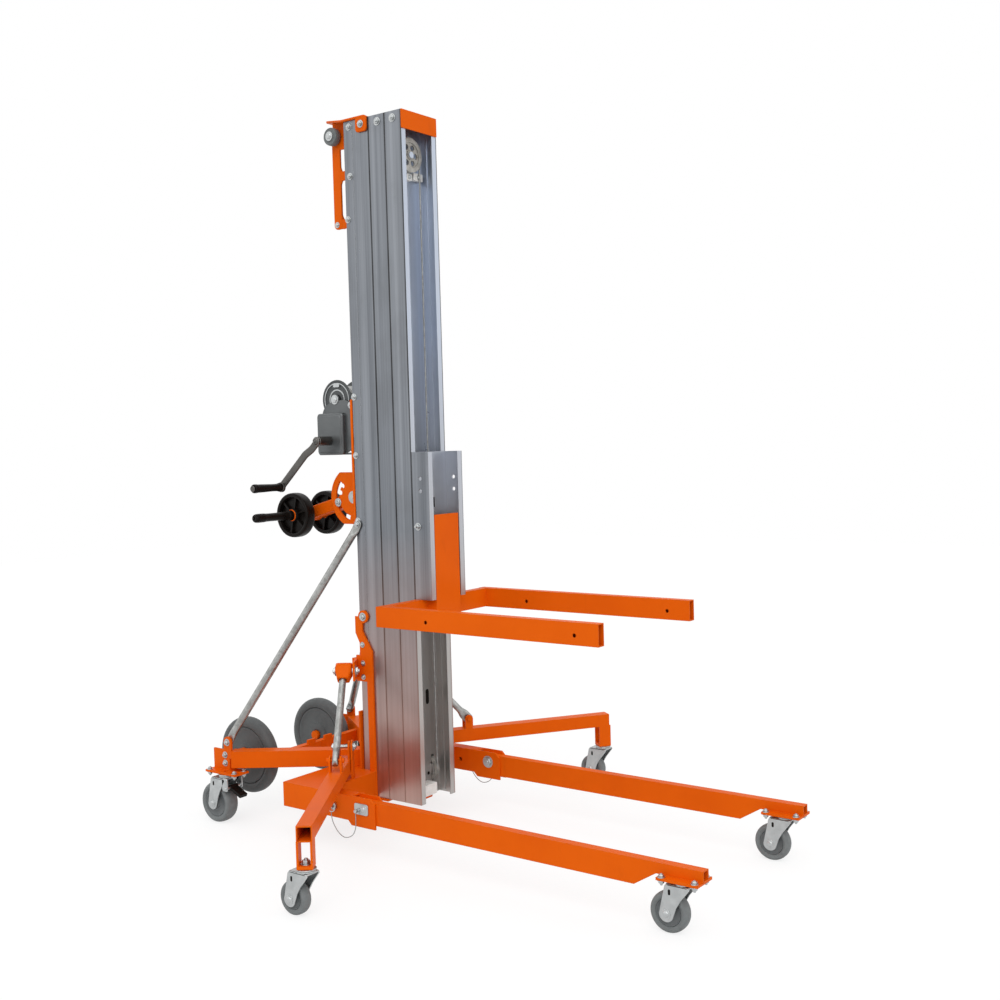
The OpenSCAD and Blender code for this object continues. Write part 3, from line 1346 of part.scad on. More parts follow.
base_frame();
rear_arm_left();
rear_arm_right();
mast_base();
braces();
top_bracket();
top_rollers();
winch_body();
winch_drum();
drum_rope();
crank();
crank_grip();
load_quadrant();
load_arm();
load_wheel_left();
load_wheel_right();
bolts();
rope_base();
rope_base_mid();
rope_mid();
rope_mid_front();
rope_front();
rope_carriage();
base_sheave();
mid_top_sheave();
mid_foot_sheave();
front_top_sheave();
front_foot_sheave();
mast_mid();
mast_front();
front_cap();
carriage();
fork_frame();
leg_left();
leg_right();
leg_pin_left();
leg_pin_right();
lanyards();
front_caster_left();
front_caster_right();
front_wheel_left();
front_wheel_right();
rear_caster_left();
rear_caster_right();
rear_wheel_left();
rear_wheel_right();
brake_pedal_left();
brake_pedal_right();
transport_wheel_left();
transport_wheel_right();
stabilizer_left();
stabilizer_right();
stab_swivel_left();
stab_swivel_right();
stab_strut_left();
stab_strut_right();
stab_caster_left();
stab_caster_right();
stab_wheel_left();
stab_wheel_right();
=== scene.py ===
import bpy
import numpy as np
from mathutils import Matrix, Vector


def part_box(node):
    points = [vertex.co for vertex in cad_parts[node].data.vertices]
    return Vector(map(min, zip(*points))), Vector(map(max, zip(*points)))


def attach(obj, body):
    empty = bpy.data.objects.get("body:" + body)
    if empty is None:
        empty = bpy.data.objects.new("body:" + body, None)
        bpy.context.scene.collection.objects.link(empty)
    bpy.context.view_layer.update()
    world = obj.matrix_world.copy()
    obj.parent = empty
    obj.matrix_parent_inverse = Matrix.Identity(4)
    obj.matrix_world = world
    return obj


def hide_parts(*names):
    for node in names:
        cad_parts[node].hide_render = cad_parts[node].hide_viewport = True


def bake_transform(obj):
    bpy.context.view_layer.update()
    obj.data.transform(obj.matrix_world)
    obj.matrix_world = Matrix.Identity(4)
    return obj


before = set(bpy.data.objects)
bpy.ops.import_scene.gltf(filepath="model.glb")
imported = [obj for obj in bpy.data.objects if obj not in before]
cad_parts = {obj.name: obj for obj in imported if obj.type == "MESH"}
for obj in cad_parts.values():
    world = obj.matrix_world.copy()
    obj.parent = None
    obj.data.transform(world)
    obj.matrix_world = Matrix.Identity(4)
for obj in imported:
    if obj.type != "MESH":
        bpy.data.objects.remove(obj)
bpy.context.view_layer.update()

MM = 0.001
TURN = 2 * np.pi
SIDES = (("left", 1), ("right", -1))
WAYS = (1, -1)
# The frame's axes: forward, to the left and up
X, Y, Z = np.eye(3)

# The joint face between the first two mast sections, on the frame's X axis
MAST_X = -0.242


def at(x, y, z):
    """Millimetres from the mast's joint face, given as metres in the frame."""
    return np.stack(np.broadcast_arrays(x, y, z), axis=-1) / 1000 + MAST_X * X


# Places that several pieces share, in millimetres from the joint face, and the half widths of the mast and its strips
DRUM_X, DRUM_Z = -185, 1222
LOAD_PIVOT_X, LOAD_PIVOT_Z = -141, 940
ROLLER_X, ROLLER_Z = -153, 1963
BRACE_HEAD_X, BRACE_HEAD_Z = -85, 865
BRACE_FOOT_X, BRACE_FOOT_Z = -460, 234
MAST_HALF = 74.5
STRIP_HALF = 80.9


def linked(name, data):
    """A new object in the scene."""
    made = bpy.data.objects.new(name, data)
    bpy.context.scene.collection.objects.link(made)
    return made


# Camera


def aim_camera():
    """The camera at the photograph's place: rolled about its line of sight, tipped from straight down to a little
    below level, and turned about the upright."""
    yaw, pitch, roll = 0.638176, 0.0481027, -0.0276146
    eye = (2.278917 + MAST_X, -2.585941, 1.088124)
    film, focus = 36, 1.211534
    camera = linked("camera", bpy.data.cameras.new("camera"))
    camera.data.sensor_width = film
    camera.data.lens = film * focus
    place = Matrix.Translation(eye)
    for angle, axis in ((yaw, "Z"), (np.pi / 2 - pitch, "X"), (roll, "Z")):
        place = place @ Matrix.Rotation(angle, 4, axis)
    camera.matrix_world = place
    bpy.context.scene.camera = camera


aim_camera()


# Shapes: each is (points, four-sided faces, three-sided faces)


def outward(points, quads, tris):
    """The shape with its faces turned outwards: each is reversed if the sum of the triangles' triple products, six
    times the signed volume, is below zero."""
    corners = np.vstack([quads[:, [0, 1, 2]], quads[:, [0, 2, 3]], tris])
    a, b, c = points[corners[:, 0]], points[corners[:, 1]], points[corners[:, 2]]
    if np.einsum("ij,ij->", a, np.cross(b, c)) < 0:
        quads, tris = quads[:, ::-1], tris[:, ::-1]
    return points, quads, tris


def skin(grid, ring=False):
    """A closed surface over a grid of points whose columns run round: rows are joined in order, the last to the
    first for a ring, and otherwise each end row is closed by a fan to its mean."""
    rows, columns = grid.shape[:2]
    index = np.arange(rows * columns).reshape(rows, columns)
    after = np.roll(index, -1, axis=1)
    points = grid.reshape(-1, 3)
    if ring:
        quads = np.stack([index, after, np.roll(after, -1, axis=0), np.roll(index, -1, axis=0)], axis=-1)
        return outward(points, quads.reshape(-1, 4), np.empty((0, 3), int))
    quads = np.stack([index[:-1], after[:-1], after[1:], index[1:]], axis=-1).reshape(-1, 4)
    first, last = rows * columns, rows * columns + 1
    points = np.vstack([points, grid[0].mean(axis=0), grid[-1].mean(axis=0)])
    low = np.stack([np.full(columns, first), after[0], index[0]], axis=-1)
    high = np.stack([np.full(columns, last), index[-1], after[-1]], axis=-1)
    return outward(points, quads, np.vstack([low, high]))


def unit(vectors):
    """Vectors brought to length one."""
    return vectors / np.linalg.norm(vectors, axis=-1, keepdims=True)


def across(axis):
    """An axis as a unit vector, and two unit vectors square to it and to each other."""
    axis = unit(axis)
    first = unit(np.cross(Z if abs(axis[2]) < 0.9 else X, axis))
    return axis, first, np.cross(axis, first)


def soften(loop, passes):
    """A closed loop with its corners cut: each side gives the points at a quarter and three quarters of it."""
    loop = np.asarray(loop, float)
    for _ in range(passes):
        after = np.roll(loop, -1, axis=0)
        loop = np.stack([0.75 * loop + 0.25 * after, 0.25 * loop + 0.75 * after], axis=1)
        loop = loop.reshape(-1, loop.shape[-1])
    return loop


def mirrored(half):
    """A closed profile from one half: the half, then the same in reverse with its distances turned over."""
    half = np.asarray(half, float)
    return np.vstack([half, half[::-1] * [1, -1]])


def block(low, near, high, far):
    """A profile of four corners, between two radii and two distances along the axis."""
    return [(low, near), (high, near), (high, far), (low, far)]


def bearing(angle):
    """Points of the unit circle at angles."""
    return np.stack([np.cos(angle), np.sin(angle)], axis=-1)


def circle(radius, count=24):
    """Points round a circle."""
    return radius * bearing(np.linspace(0, TURN, count, endpoint=False))


def lathe(profile, centre, axis, steps, ring=True):
    """A profile of (radius, distance along the axis) in millimetres, turned once round the axis; a ring's profile
    is closed, and any other ends in a fan at each end."""
    axis, first, second = across(axis)
    profile = np.asarray(profile, float) * MM
    spoke = circle(1, steps) @ np.stack([first, second])
    return skin(centre + profile[:, None, :1] * spoke + profile[:, None, 1:] * axis, ring)


def turned(profile, centre, axis=Y, steps=64, passes=1):
    """A closed profile with its corners cut, turned once round the axis."""
    return lathe(soften(profile, passes), centre, axis, steps)


def carried(path, side, a, b):
    """Sections carried along a path: at each point a lies along the side direction made square to the path, and b
    along the path's direction crossed with it."""
    ahead = unit(np.gradient(path, axis=0))
    side = unit(side - (ahead @ side)[:, None] * ahead)
    other = np.cross(ahead, side)
    return skin(path[:, None] + a[..., None] * side[:, None] + b[..., None] * other[:, None])


def sweep(section, path, side, twist=0):
    """One section of (a, b) in millimetres carried along a path, turned by the twist at each point."""
    turn = np.broadcast_to(twist, len(path))[:, None]
    a, b = section.T * MM
    return carried(path, side, a * np.cos(turn) - b * np.sin(turn), a * np.sin(turn) + b * np.cos(turn))


# The directions of a plate's outline and thickness: upright along the side, lying flat, and facing forward
SIDE, FLAT, FACE = (X, Z, Y), (X, Y, Z), (Y, Z, X)
ORIGIN = at(0, 0, 0)


def plate(outline, low, high, edge, plane=SIDE, origin=ORIGIN):
    """A flat piece with broken edges, in millimetres: the outline, in the plane's first two directions, stands
    between low and high along the third, and the outline drawn in by the edge towards its mean closes both faces."""
    outline = np.asarray(outline, float)
    middle = outline.mean(axis=0)
    spoke = outline - middle
    inner = middle + spoke * (1 - abs(edge) / np.linalg.norm(spoke, axis=1, keepdims=True))
    loops = np.stack([inner, outline, outline, inner]) * MM
    heights = np.array([low, low + edge, high - edge, high])[:, None, None] * MM
    a, b, n = plane
    return skin(origin + loops[..., :1] * a + loops[..., 1:] * b + heights * n)


def both_sides(outline, near, far, edge, origin=ORIGIN):
    """The same upright plate on the left and on the right, between two distances from the middle."""
    return [plate(outline, s * near, s * far, s * edge, SIDE, origin) for s in WAYS]


def rounded(a0, b0, a1, b1, r):
    """The outline of a rectangle with round corners: a quarter circle about each inner corner in turn."""
    corners = ((a1 - r, b1 - r), (a0 + r, b1 - r), (a0 + r, b0 + r), (a1 - r, b0 + r))
    quarter = np.linspace(0, TURN / 4, 5)
    return np.vstack([corner + r * bearing(quarter + k * TURN / 4) for k, corner in enumerate(corners)])


def run_of(points):
    """The distance along a line to each of its points."""
    return np.concatenate([[0], np.cumsum(np.linalg.norm(np.diff(points, axis=0), axis=1))])


def along(points, run, s):
    """The points of a line at the distances s along it."""
    return np.stack([np.interp(s, run, points[:, k]) for k in range(3)], axis=-1)


def through(points, count):
    """A smooth line through points, at even shares of their chord length: between each pair a cubic, whose slopes
    come from the points before and after."""
    chord = run_of(points)
    slope = np.gradient(points, chord, axis=0)
    s = np.linspace(0, chord[-1], count)
    i = np.clip(np.searchsorted(chord, s, side="right") - 1, 0, len(points) - 2)
    step = (chord[i + 1] - chord[i])[:, None]
    t = (s - chord[i])[:, None] / step
    return ((2 * t ** 3 - 3 * t ** 2 + 1) * points[i] + (t ** 3 - 2 * t ** 2 + t) * step * slope[i]
            + (3 * t ** 2 - 2 * t ** 3) * points[i + 1] + (t ** 3 - t ** 2) * step * slope[i + 1])


def put(name, shapes, finish, body=None, *replaces, crease=35):
    """A piece from shapes joined in one mesh, smooth but for edges sharper than the crease angle. A finish is its
    material and a slot name; the slot name is not used."""
    starts = np.cumsum([0] + [len(points) for points, _, _ in shapes])
    points = np.vstack([shape[0] for shape in shapes])
    faces = [(shape[k] + start).tolist() for k in (1, 2) for shape, start in zip(shapes, starts)]
    mesh = bpy.data.meshes.new(name)
    mesh.from_pydata(points.tolist(), [], sum(faces, []))
    mesh.shade_smooth()
    mesh.set_sharp_from_angle(angle=np.radians(crease))
    material, slot = finish
    mesh.materials.append(material)
    piece = linked(name, mesh)
    if body:
        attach(piece, body)
    if replaces:
        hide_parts(*replaces)
    return piece


# Finishes


def begin(name, **constants):
    """A new finish with its shader, and the constants on the shader's own sockets."""
    finish = bpy.data.materials.new(name)
    finish.use_nodes = True
    shader = finish.node_tree.nodes["Principled BSDF"]
    for key, value in constants.items():
        shader.inputs[key.replace("_", " ")].default_value = value
    return finish, finish.node_tree, shader


def add(tree, kind, settings=(), **inputs):
    """One shader node: settings are its own, inputs are values or the sockets that feed it."""
    made = tree.nodes.new("ShaderNode" + kind)
    for key, value in dict(settings).items():
        setattr(made, key, value)
    for key, value in inputs.items():
        socket = made.inputs[int(key[1:]) if key[1:].isdigit() else key.replace("_", " ")]
        if isinstance(value, bpy.types.NodeSocket):
            tree.links.new(value, socket)
        else:
            socket.default_value = value
    return made


def place_of(tree, scale=(1, 1, 1)):
    """Object coordinates, multiplied by a scale on each axis."""
    spot = add(tree, "TexCoord").outputs["Object"]
    return add(tree, "Mapping", Vector=spot, Scale=scale).outputs["Vector"]


def cloud(spot, scale, detail, rough=0.55):
    """Noise from 0 to 1 over a place."""
    return add(spot.id_data, "TexNoise", Vector=spot, Scale=scale, Detail=detail, Roughness=rough).outputs["Fac"]


def graded(value, *stops):
    """A colour for a value: stops are (value, colour)."""
    ramp = add(value.id_data, "ValToRGB", Fac=value)
    while len(ramp.color_ramp.elements) < len(stops):
        ramp.color_ramp.elements.new(0.5)
    for element, (where, colour) in zip(ramp.color_ramp.elements, stops):
        element.position = where
        element.color = (*colour, 1)
    return ramp.outputs["Color"]


def spread(value, low, high, start=0, end=1):
    """A value from start to end, laid out from low to high."""
    laid = add(value.id_data, "MapRange", Value=value, From_Min=start, From_Max=end, To_Min=low, To_Max=high)
    return laid.outputs["Result"]


def worked(operation, *values):
    """A sum worked on values, of which the first is a socket and so knows its tree."""
    inputs = {"i%d" % k: value for k, value in enumerate(values)}
    return add(values[0].id_data, "Math", {"operation": operation}, **inputs).outputs[0]


def times(first, second):
    """The product of two values."""
    return worked("MULTIPLY", first, second)


def over(share, under, top):
    """One colour laid over another by a share."""
    under, top = (v if isinstance(v, bpy.types.NodeSocket) else (*v, 1) for v in (under, top))
    return add(share.id_data, "Mix", {"data_type": "RGBA"}, Factor=share, i6=under, i7=top).outputs[2]


def broken_edge(tree, radius):
    """A rounded normal near edges, and how much it turns away from the face: 0 on the flat, about 1 on an edge."""
    soft = add(tree, "Bevel", {"samples": 4}, Radius=radius).outputs["Normal"]
    face = add(tree, "NewGeometry").outputs["Normal"]
    same = add(tree, "VectorMath", {"operation": "DOT_PRODUCT"}, i0=soft, i1=face).outputs["Value"]
    return soft, spread(same, 1, 0, 0.72, 0.985)


def dressed(shader, colour, rough, height, strength, depth=0.0003, normal=None):
    """Colour, roughness and a fine relief put on the shader."""
    tree = shader.id_data
    relief = add(tree, "Bump", Strength=strength, Distance=depth, Height=height)
    if normal is not None:
        tree.links.new(normal, relief.inputs["Normal"])
    for socket, value in (("Base Color", colour), ("Roughness", rough), ("Normal", relief.outputs["Normal"])):
        tree.links.new(value, shader.inputs[socket])


def powder_coat():
    """Orange powder coat: slow drift of the orange, orange-peel relief, paler worn edges, a little grime."""
    finish, tree, shader = begin("orange_powder_coat", Specular_IOR_Level=0.05)
    spot = place_of(tree)
    drift = cloud(spot, 5, 4)
    peel = cloud(spot, 620, 2)
    grime = cloud(place_of(tree, (1, 1, 0.35)), 22, 6, 0.7)
    soft, edge = broken_edge(tree, 0.0022)
    chips = times(edge, spread(cloud(spot, 45, 5, 0.7), 0, 0.75, 0.42, 0.72))
    paint = graded(drift, (0.25, (0.735, 0.104, 0.0016)), (0.75, (0.815, 0.127, 0.0024)))
    paint = over(spread(grime, 0, 0.24, 0.60, 0.82), paint, (0.40, 0.062, 0.004))
    paint = over(chips, paint, (0.86, 0.25, 0.030))
    dressed(shader, paint, spread(drift, 0.32, 0.45), peel, 0.10, 0.0004, soft)
    return finish, "orange_paint"


def drawn_aluminium():
    """Drawn mast extrusion: fine streaks and broad bands along the height, dull smears, worn edges, painted light
    inside the channels (warm grey low down, bluer higher up), and outside them painted shade of the gaps beside the
    joints of the sections, which lie a step apart, and a painted warm reflection of the orange base near the foot."""
    wall_low, wall_high = 0.0712, 0.0728
    rear_low, rear_high = -0.0945, -0.0935
    step, joints_middle, joints_reach = 0.0295, 0.055, 0.085
    finish, tree, shader = begin("drawn_aluminium", Metallic=0.85)
    fine = cloud(place_of(tree, (520, 520, 2.2)), 1, 3, 0.65)
    band = cloud(place_of(tree, (46, 46, 0.40)), 1, 3)
    smear = cloud(place_of(tree, (1, 1, 0.5)), 9, 5, 0.6)
    soft, edge = broken_edge(tree, 0.0012)
    metal = graded(band, (0.30, (0.128, 0.139, 0.156)), (0.70, (0.262, 0.279, 0.305)))
    metal = over(spread(fine, 0, 0.35, 0.35, 0.75), metal, (0.290, 0.303, 0.326))
    metal = over(spread(smear, 0, 0.45, 0.52, 0.80), metal, (0.142, 0.148, 0.155))
    parts = add(tree, "SeparateXYZ", Vector=add(tree, "TexCoord").outputs["Object"]).outputs
    off_middle = worked("ABSOLUTE", parts["Y"])
    forward = worked("SUBTRACT", parts["X"], MAST_X)
    inside = times(spread(off_middle, 1, 0, wall_low, wall_high), spread(forward, 0, 1, rear_low, rear_high))
    # Painted light: inside the channels the metal is made lighter, warm grey low down and bluer higher up, standing
    # in for light reflected into them
    painted_channel_light = over(spread(parts["Z"], 0, 1, 0.5, 1.4), (0.50, 0.475, 0.45), (0.59, 0.65, 0.76))
    metal = over(times(inside, spread(band, 0.60, 1)), metal, painted_channel_light)
    metal = over(times(edge, 0.6), metal, (0.52, 0.53, 0.545))
    # Painted shade of the narrow gaps between the sections: a dark band beside each joint, outside the channels,
    # patchy with the smears
    to_joint = worked("PINGPONG", forward, step)
    joint_gap_shade = times(spread(to_joint, 0.95, 0, 0.0017, 0.0040), spread(smear, 0.7, 1, 0.3, 0.7))
    near = worked("COMPARE", forward, joints_middle, joints_reach)
    outside = spread(inside, 1, 0)
    metal = over(times(times(joint_gap_shade, near), outside), metal, (0.020, 0.019, 0.018))
    # Painted warm reflection of the orange base: outside the channels the metal turns pinkish orange towards the foot
    painted_base_reflection = times(spread(parts["Z"], 0.80, 0, 0.15, 0.85), spread(band, 0.7, 1))
    metal = over(times(painted_base_reflection, outside), metal, (0.56, 0.335, 0.270))
    dressed(shader, metal, spread(smear, 0.27, 0.46, 0.3, 0.8), fine, 0.06, normal=soft)
    return finish, "mast_aluminium"


def galvanised_tube():
    """Galvanised brace tube: spangle from cells, and duller patches."""
    finish, tree, shader = begin("galvanised_tube", Metallic=0.95)
    spot = place_of(tree)
    cells = add(tree, "TexVoronoi", Vector=spot, Scale=95).outputs["Color"]
    patch = cloud(spot, 16, 4)
    metal = graded(cells, (0.2, (0.285, 0.290, 0.280)), (0.8, (0.390, 0.395, 0.385)))
    metal = over(spread(patch, 0, 0.5, 0.5, 0.8), metal, (0.25, 0.245, 0.23))
    dressed(shader, metal, spread(patch, 0.28, 0.46), cells, 0.04)
    return finish, "zinc_steel"


def winch_paint(name, shade):
    """Mid grey hammered winch enamel with rubbed edges, darkened by a shade."""
    finish, tree, shader = begin(name, Metallic=0.55)
    spot = place_of(tree)
    dimple = cloud(spot, 240, 2)
    drift = cloud(spot, 14, 4)
    soft, edge = broken_edge(tree, 0.0012)
    dark, pale = (tuple(shade * v for v in tone) for tone in ((0.088, 0.096, 0.099), (0.128, 0.136, 0.139)))
    paint = graded(drift, (0.25, dark), (0.75, pale))
    paint = over(times(edge, 0.55 * shade), paint, (0.34, 0.35, 0.36))
    dressed(shader, paint, spread(dimple, 0.27, 0.42), dimple, 0.22, 0.0004, soft)
    return finish, "winch_grey"


def patchy(name, slot, patch, grain, tones, rough, relief, rub=None, **constants):
    """A finish whose colour and roughness follow slow patches over a fine grain's relief: patch is the patches'
    scale, detail and roughness, grain the grain's scale and detail, tones the colour stops, rough the roughness
    range, and rub the radius, share and colour of rubbed edges."""
    finish, tree, shader = begin(name, **constants)
    spot = place_of(tree)
    slow = cloud(spot, *patch)
    colour, soft = graded(slow, *tones), None
    if rub:
        radius, share, bare = rub
        soft, edge = broken_edge(tree, radius)
        colour = over(times(edge, share), colour, bare)
    dressed(shader, colour, spread(slow, *rough), cloud(spot, *grain), relief, normal=soft)
    return finish, slot


def tyre_rubber(name, shade):
    """Thermoplastic tyre of a grey shade: mottled, matt, rubbed paler in patches."""
    dark, pale = ((0.92 * k * shade, 0.99 * k * shade, k * shade) for k in (0.84, 1.16))
    return patchy(name, "grey_rubber", (55, 5, 0.65), (700, 2), ((0.25, dark), (0.75, pale)), (0.48, 0.66),
                  0.12, Specular_IOR_Level=0.3)


def casting(name, dark, pale, metallic):
    """Casting of the sheaves and guide blocks between two shades, greasy in patches."""
    return patchy(name, "sheave_metal", (70, 5, 0.65), (600, 2), ((0.3, dark), (0.7, pale)), (0.36, 0.55),
                  0.10, Metallic=metallic)


ORANGE = powder_coat()
ALUMINIUM = drawn_aluminium()
GALVANISED = galvanised_tube()
WINCH = winch_paint("winch_paint", 1)
DRUM = winch_paint("drum_paint", 0.60)
RUBBER = tyre_rubber("tyre_rubber", 0.185)
# Darker copy of the tyre rubber for the transport wheels: painted shade, the tone these wheels show in shadow
SHADED_RUBBER = tyre_rubber("transport_tyre_shaded_rubber", 0.105)
SHEAVE = casting("cast_sheave", (0.30, 0.29, 0.265), (0.50, 0.485, 0.45), 0.25)
PALE = casting("pale_guide", (0.72, 0.71, 0.68), (0.84, 0.835, 0.81), 0)
# Zinc-plated steel: faint cloudy patches, duller where handled
ZINC = patchy("bright_zinc", "zinc_steel", (38, 5, 0.65), (420, 3),
              ((0.25, (0.385, 0.402, 0.405)), (0.75, (0.520, 0.538, 0.540))), (0.24, 0.44), 0.05,
              (0.0009, 0.5, (0.72, 0.73, 0.73)), Metallic=0.95)
# Dull plated steel of the crank: brown-grey patches and rubbed edges
STEEL = patchy("worn_steel", "zinc_steel", (30, 5, 0.65), (420, 3),
               ((0.25, (0.074, 0.070, 0.064)), (0.75, (0.130, 0.125, 0.118))), (0.28, 0.48), 0.06,
               (0.0012, 0.6, (0.50, 0.49, 0.47)), Metallic=0.9)
# Black moulded plastic: fine spark grain and dusty scuffs
BLACK = patchy("moulded_black", "black_plastic", (36, 6, 0.7), (800, 2),
               ((0.30, (0.0060, 0.0046, 0.0038)), (0.62, (0.0086, 0.0066, 0.0056)), (0.85, (0.030, 0.024, 0.020))),
               (0.24, 0.52, 0.3, 0.8), 0.12, Specular_IOR_Level=0.10)
# Grey moulded wheel core, a little darker than its tyre
CORE = patchy("wheel_core_plastic", "grey_rubber", (40, 4), (900, 2),
              ((0.25, (0.118, 0.128, 0.132)), (0.75, (0.160, 0.172, 0.176))), (0.40, 0.54), 0.08,
              Specular_IOR_Level=0.3)
# Galvanised wire strands, greasy in the hollows
WIRE = patchy("wire_strand", "wire_rope", (70, 4), (500, 3),
              ((0.3, (0.26, 0.26, 0.25)), (0.7, (0.44, 0.445, 0.44))), (0.32, 0.5), 0.2, Metallic=0.9)

NODE_FINISH = (
    (("base_frame", "rear_arm", "top_bracket", "load_quadrant", "load_arm", "front_cap", "fork_frame", "leg_left",
      "leg_right", "stabilizer", "stab_swivel"), ORANGE),
    (("mast_", "carriage"), ALUMINIUM),
    (("braces", "stab_strut"), GALVANISED),
    (("winch_body", "winch_drum"), WINCH),
    (("crank_grip", "load_wheel", "brake_pedal"), BLACK),
    (("top_rollers",), RUBBER),
    (("rope_", "drum_rope", "lanyards"), WIRE),
    (("base_sheave", "mid_top", "mid_foot", "front_top", "front_foot"), SHEAVE),
)


def finish_nodes():
    """Every CAD node takes the finish that its name is listed under, and zinc plate otherwise."""
    for name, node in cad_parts.items():
        material, _ = next((f for starts, f in NODE_FINISH if name.startswith(starts)), ZINC)
        node.data.materials.clear()
        node.data.materials.append(material)


finish_nodes()


# Pin lanyards


def pin_lanyards():
    """Each lanyard is a round section carried along a smooth line through its route, from the pin's ring down in a
    slack loop and up to its lug; it stretches between the frame and the pin."""
    x = np.array([-5, -2, 8, 22, 40, 58, 74, 82, 84, 84])
    z = np.array([112, 92, 74, 60, 52, 55, 66, 82, 100, 123])
    out_y, diameter = 302, 2.4
    for name, s in SIDES:
        path = through(at(x, s * out_y, z), 36)
        cable = put("lanyard_" + name, [sweep(circle(diameter / 2, 12), path, Y)], WIRE)
        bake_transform(cable)
        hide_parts("lanyards")


pin_lanyards()


# Hoist rope

ROPE_R = 2.5
LAY = 0.032


def laid_rope(name, points, side, body=None, *replaces, step=LAY / 9):
    """A rope along a line: a section whose radius dips six times round it, for six strands, carried along the line
    at an even step and turned once for each length of lay."""
    run = run_of(points)
    s = np.linspace(0, run[-1], max(2, int(round(run[-1] / step)) + 1))
    turn = np.linspace(0, TURN, 24, endpoint=False)
    strands = circle(ROPE_R) * (0.84 + 0.16 * np.abs(np.cos(3 * turn)))[:, None]
    rope = sweep(strands, along(points, run, s), side, s / LAY * TURN)
    return put(name, [rope], WIRE, body, *replaces, crease=50)


def half_turn(middle, a, b):
    """Half a circle from middle + a over middle + b to middle - a."""
    turn = np.linspace(0, np.pi, 40)[:, None]
    return middle + np.cos(turn) * a + np.sin(turn) * b


def hoist_ropes():
    """The rope's route: off the drum in a slanted lead, upright, over the base sheave, down to the middle section's
    foot sheave, up and over its top sheave, and the same again on the front section, down to the carriage."""
    run_x, top_z, foot_z, sheave_r = (-37, 22, 81), (1900, 1900, 1884), 161, 42
    wind_r, pitch, loops, bend_z = 38.5, 5.6, 12, top_z[0] - 110
    clear, ease = 0.022, 0.010
    reach = np.array([run_x[0] - DRUM_X, bend_z - DRUM_Z])
    lead = np.arctan2(reach[0], reach[1]) - np.arcsin(wind_r / np.linalg.norm(reach))
    turn = np.linspace(-lead - TURN * loops, -lead, 90 * loops)
    wind = at(DRUM_X + wind_r * np.cos(turn), pitch * loops / 2 + pitch * (turn + lead) / TURN,
              DRUM_Z + wind_r * np.sin(turn))
    laid_rope("drum_winding", wind, Y, "rope_drum", "drum_rope", step=0.0045)
    leave = wind[-1] + clear * np.array([np.sin(lead), 0, np.cos(lead)])
    up, wide = sheave_r * MM * Z, sheave_r * MM * Y
    bend = at(run_x[0], sheave_r, bend_z)
    over_base = half_turn(at(run_x[0], 0, top_z[0]), wide, up)
    t = np.linspace(0, 1, 12)[:, None]
    eased = ((1 - t) ** 2 * (bend - ease * unit(bend - leave)) + 2 * t * (1 - t) * bend
             + t ** 2 * (bend + ease * Z))
    laid_rope("rope_lead", np.vstack([leave, eased, over_base]), X, "frame", "rope_base")
    for name, upper, lower, x, y, high, low in (
            ("base_mid", "frame", "middle_mast", run_x[0], -sheave_r, top_z[0], foot_z),
            ("mid_front", "middle_mast", "front_mast", run_x[1], sheave_r, top_z[1], foot_z),
            ("carriage", "front_mast", "lift_carriage", run_x[2], -sheave_r, top_z[2], 900)):
        ends = at(x, y, np.array([high, low]))
        rope = laid_rope("rope_fall_" + name, ends, X, None, "rope_" + name)
        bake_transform(rope)
    for name, body, x0, x1, side, high in (
            ("mid", "middle_mast", run_x[0], run_x[1], -1, top_z[1]),
            ("front", "front_mast", run_x[1], run_x[2], 1, top_z[2])):
        half = (x1 - x0) / 2 * MM
        under = half_turn(at((x0 + x1) / 2, side * sheave_r, foot_z), -half * X, -half * Z)
        above = half_turn(at(x1, 0, high), side * wide, up)
        laid_rope("rope_loop_" + name, np.vstack([under, above]), (0.3, 1, 0), body, "rope_" + name)


hoist_ropes()


# Wheels


def box_of(node):
    """The middle of a node's box at rest, in metres, and its half sizes in millimetres."""
    low, high = (np.array(v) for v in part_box(node))
    return (low + high) / 2, (high - low) / 2 / MM


def grey_wheels():
    """Tyres and cores of the casters and transport wheels, their sections turned round the axle. A tyre has a flat
    tread, rounded shoulders and side walls that fall in towards the core; a core has a bore, a raised hub, a dished
    web and a rim lip under the tyre."""
    for kind, body, share in (
            ("front_wheel", "front_roll", 0.66), ("rear_wheel", "rear_roll", 0.68),
            ("stab_wheel", "stabilizer_roll", 0.64), ("transport_wheel", "transport_roll", 0.74)):
        big = kind == "transport_wheel"
        bore = 10.5 if big else 5.5
        # Transport wheels take the darker rubber, painted shade, for tyre and core alike
        outside, inside = (SHADED_RUBBER, SHADED_RUBBER) if big else (RUBBER, CORE)
        for name, _ in SIDES:
            node, rider = kind + "_" + name, body + "_" + name
            centre, (_, half, radius) = box_of(node)
            inner, hub = share * radius, 0.30 * radius
            tyre = mirrored([(inner, 0.66 * half), (inner + 0.03 * radius, 0.84 * half), (0.84 * radius, half),
                             (0.945 * radius, 0.84 * half), (radius, 0.40 * half)])
            core = mirrored([(bore, 0.98 * half), (hub, 0.98 * half), (hub * 1.12, 0.60 * half),
                             (inner * 0.86, 0.60 * half), (inner * 0.93, 0.74 * half), (inner * 1.01, 0.74 * half)])
            put(node + "_tyre", [turned(tyre, centre, steps=96, passes=2)], outside, rider, node)
            put(node + "_core", [turned(core, centre, steps=96)], inside, rider)


grey_wheels()


# Fasteners


def disc(radius, low, high, edge, centre, axis=Y, steps=32):
    """A turned disc with broken edges, from low to high along the axis, with its sizes in millimetres."""
    profile = [(radius - edge, low), (radius, low + edge), (radius, high - edge), (radius - edge, high)]
    return lathe(profile, centre, axis, steps, ring=False)


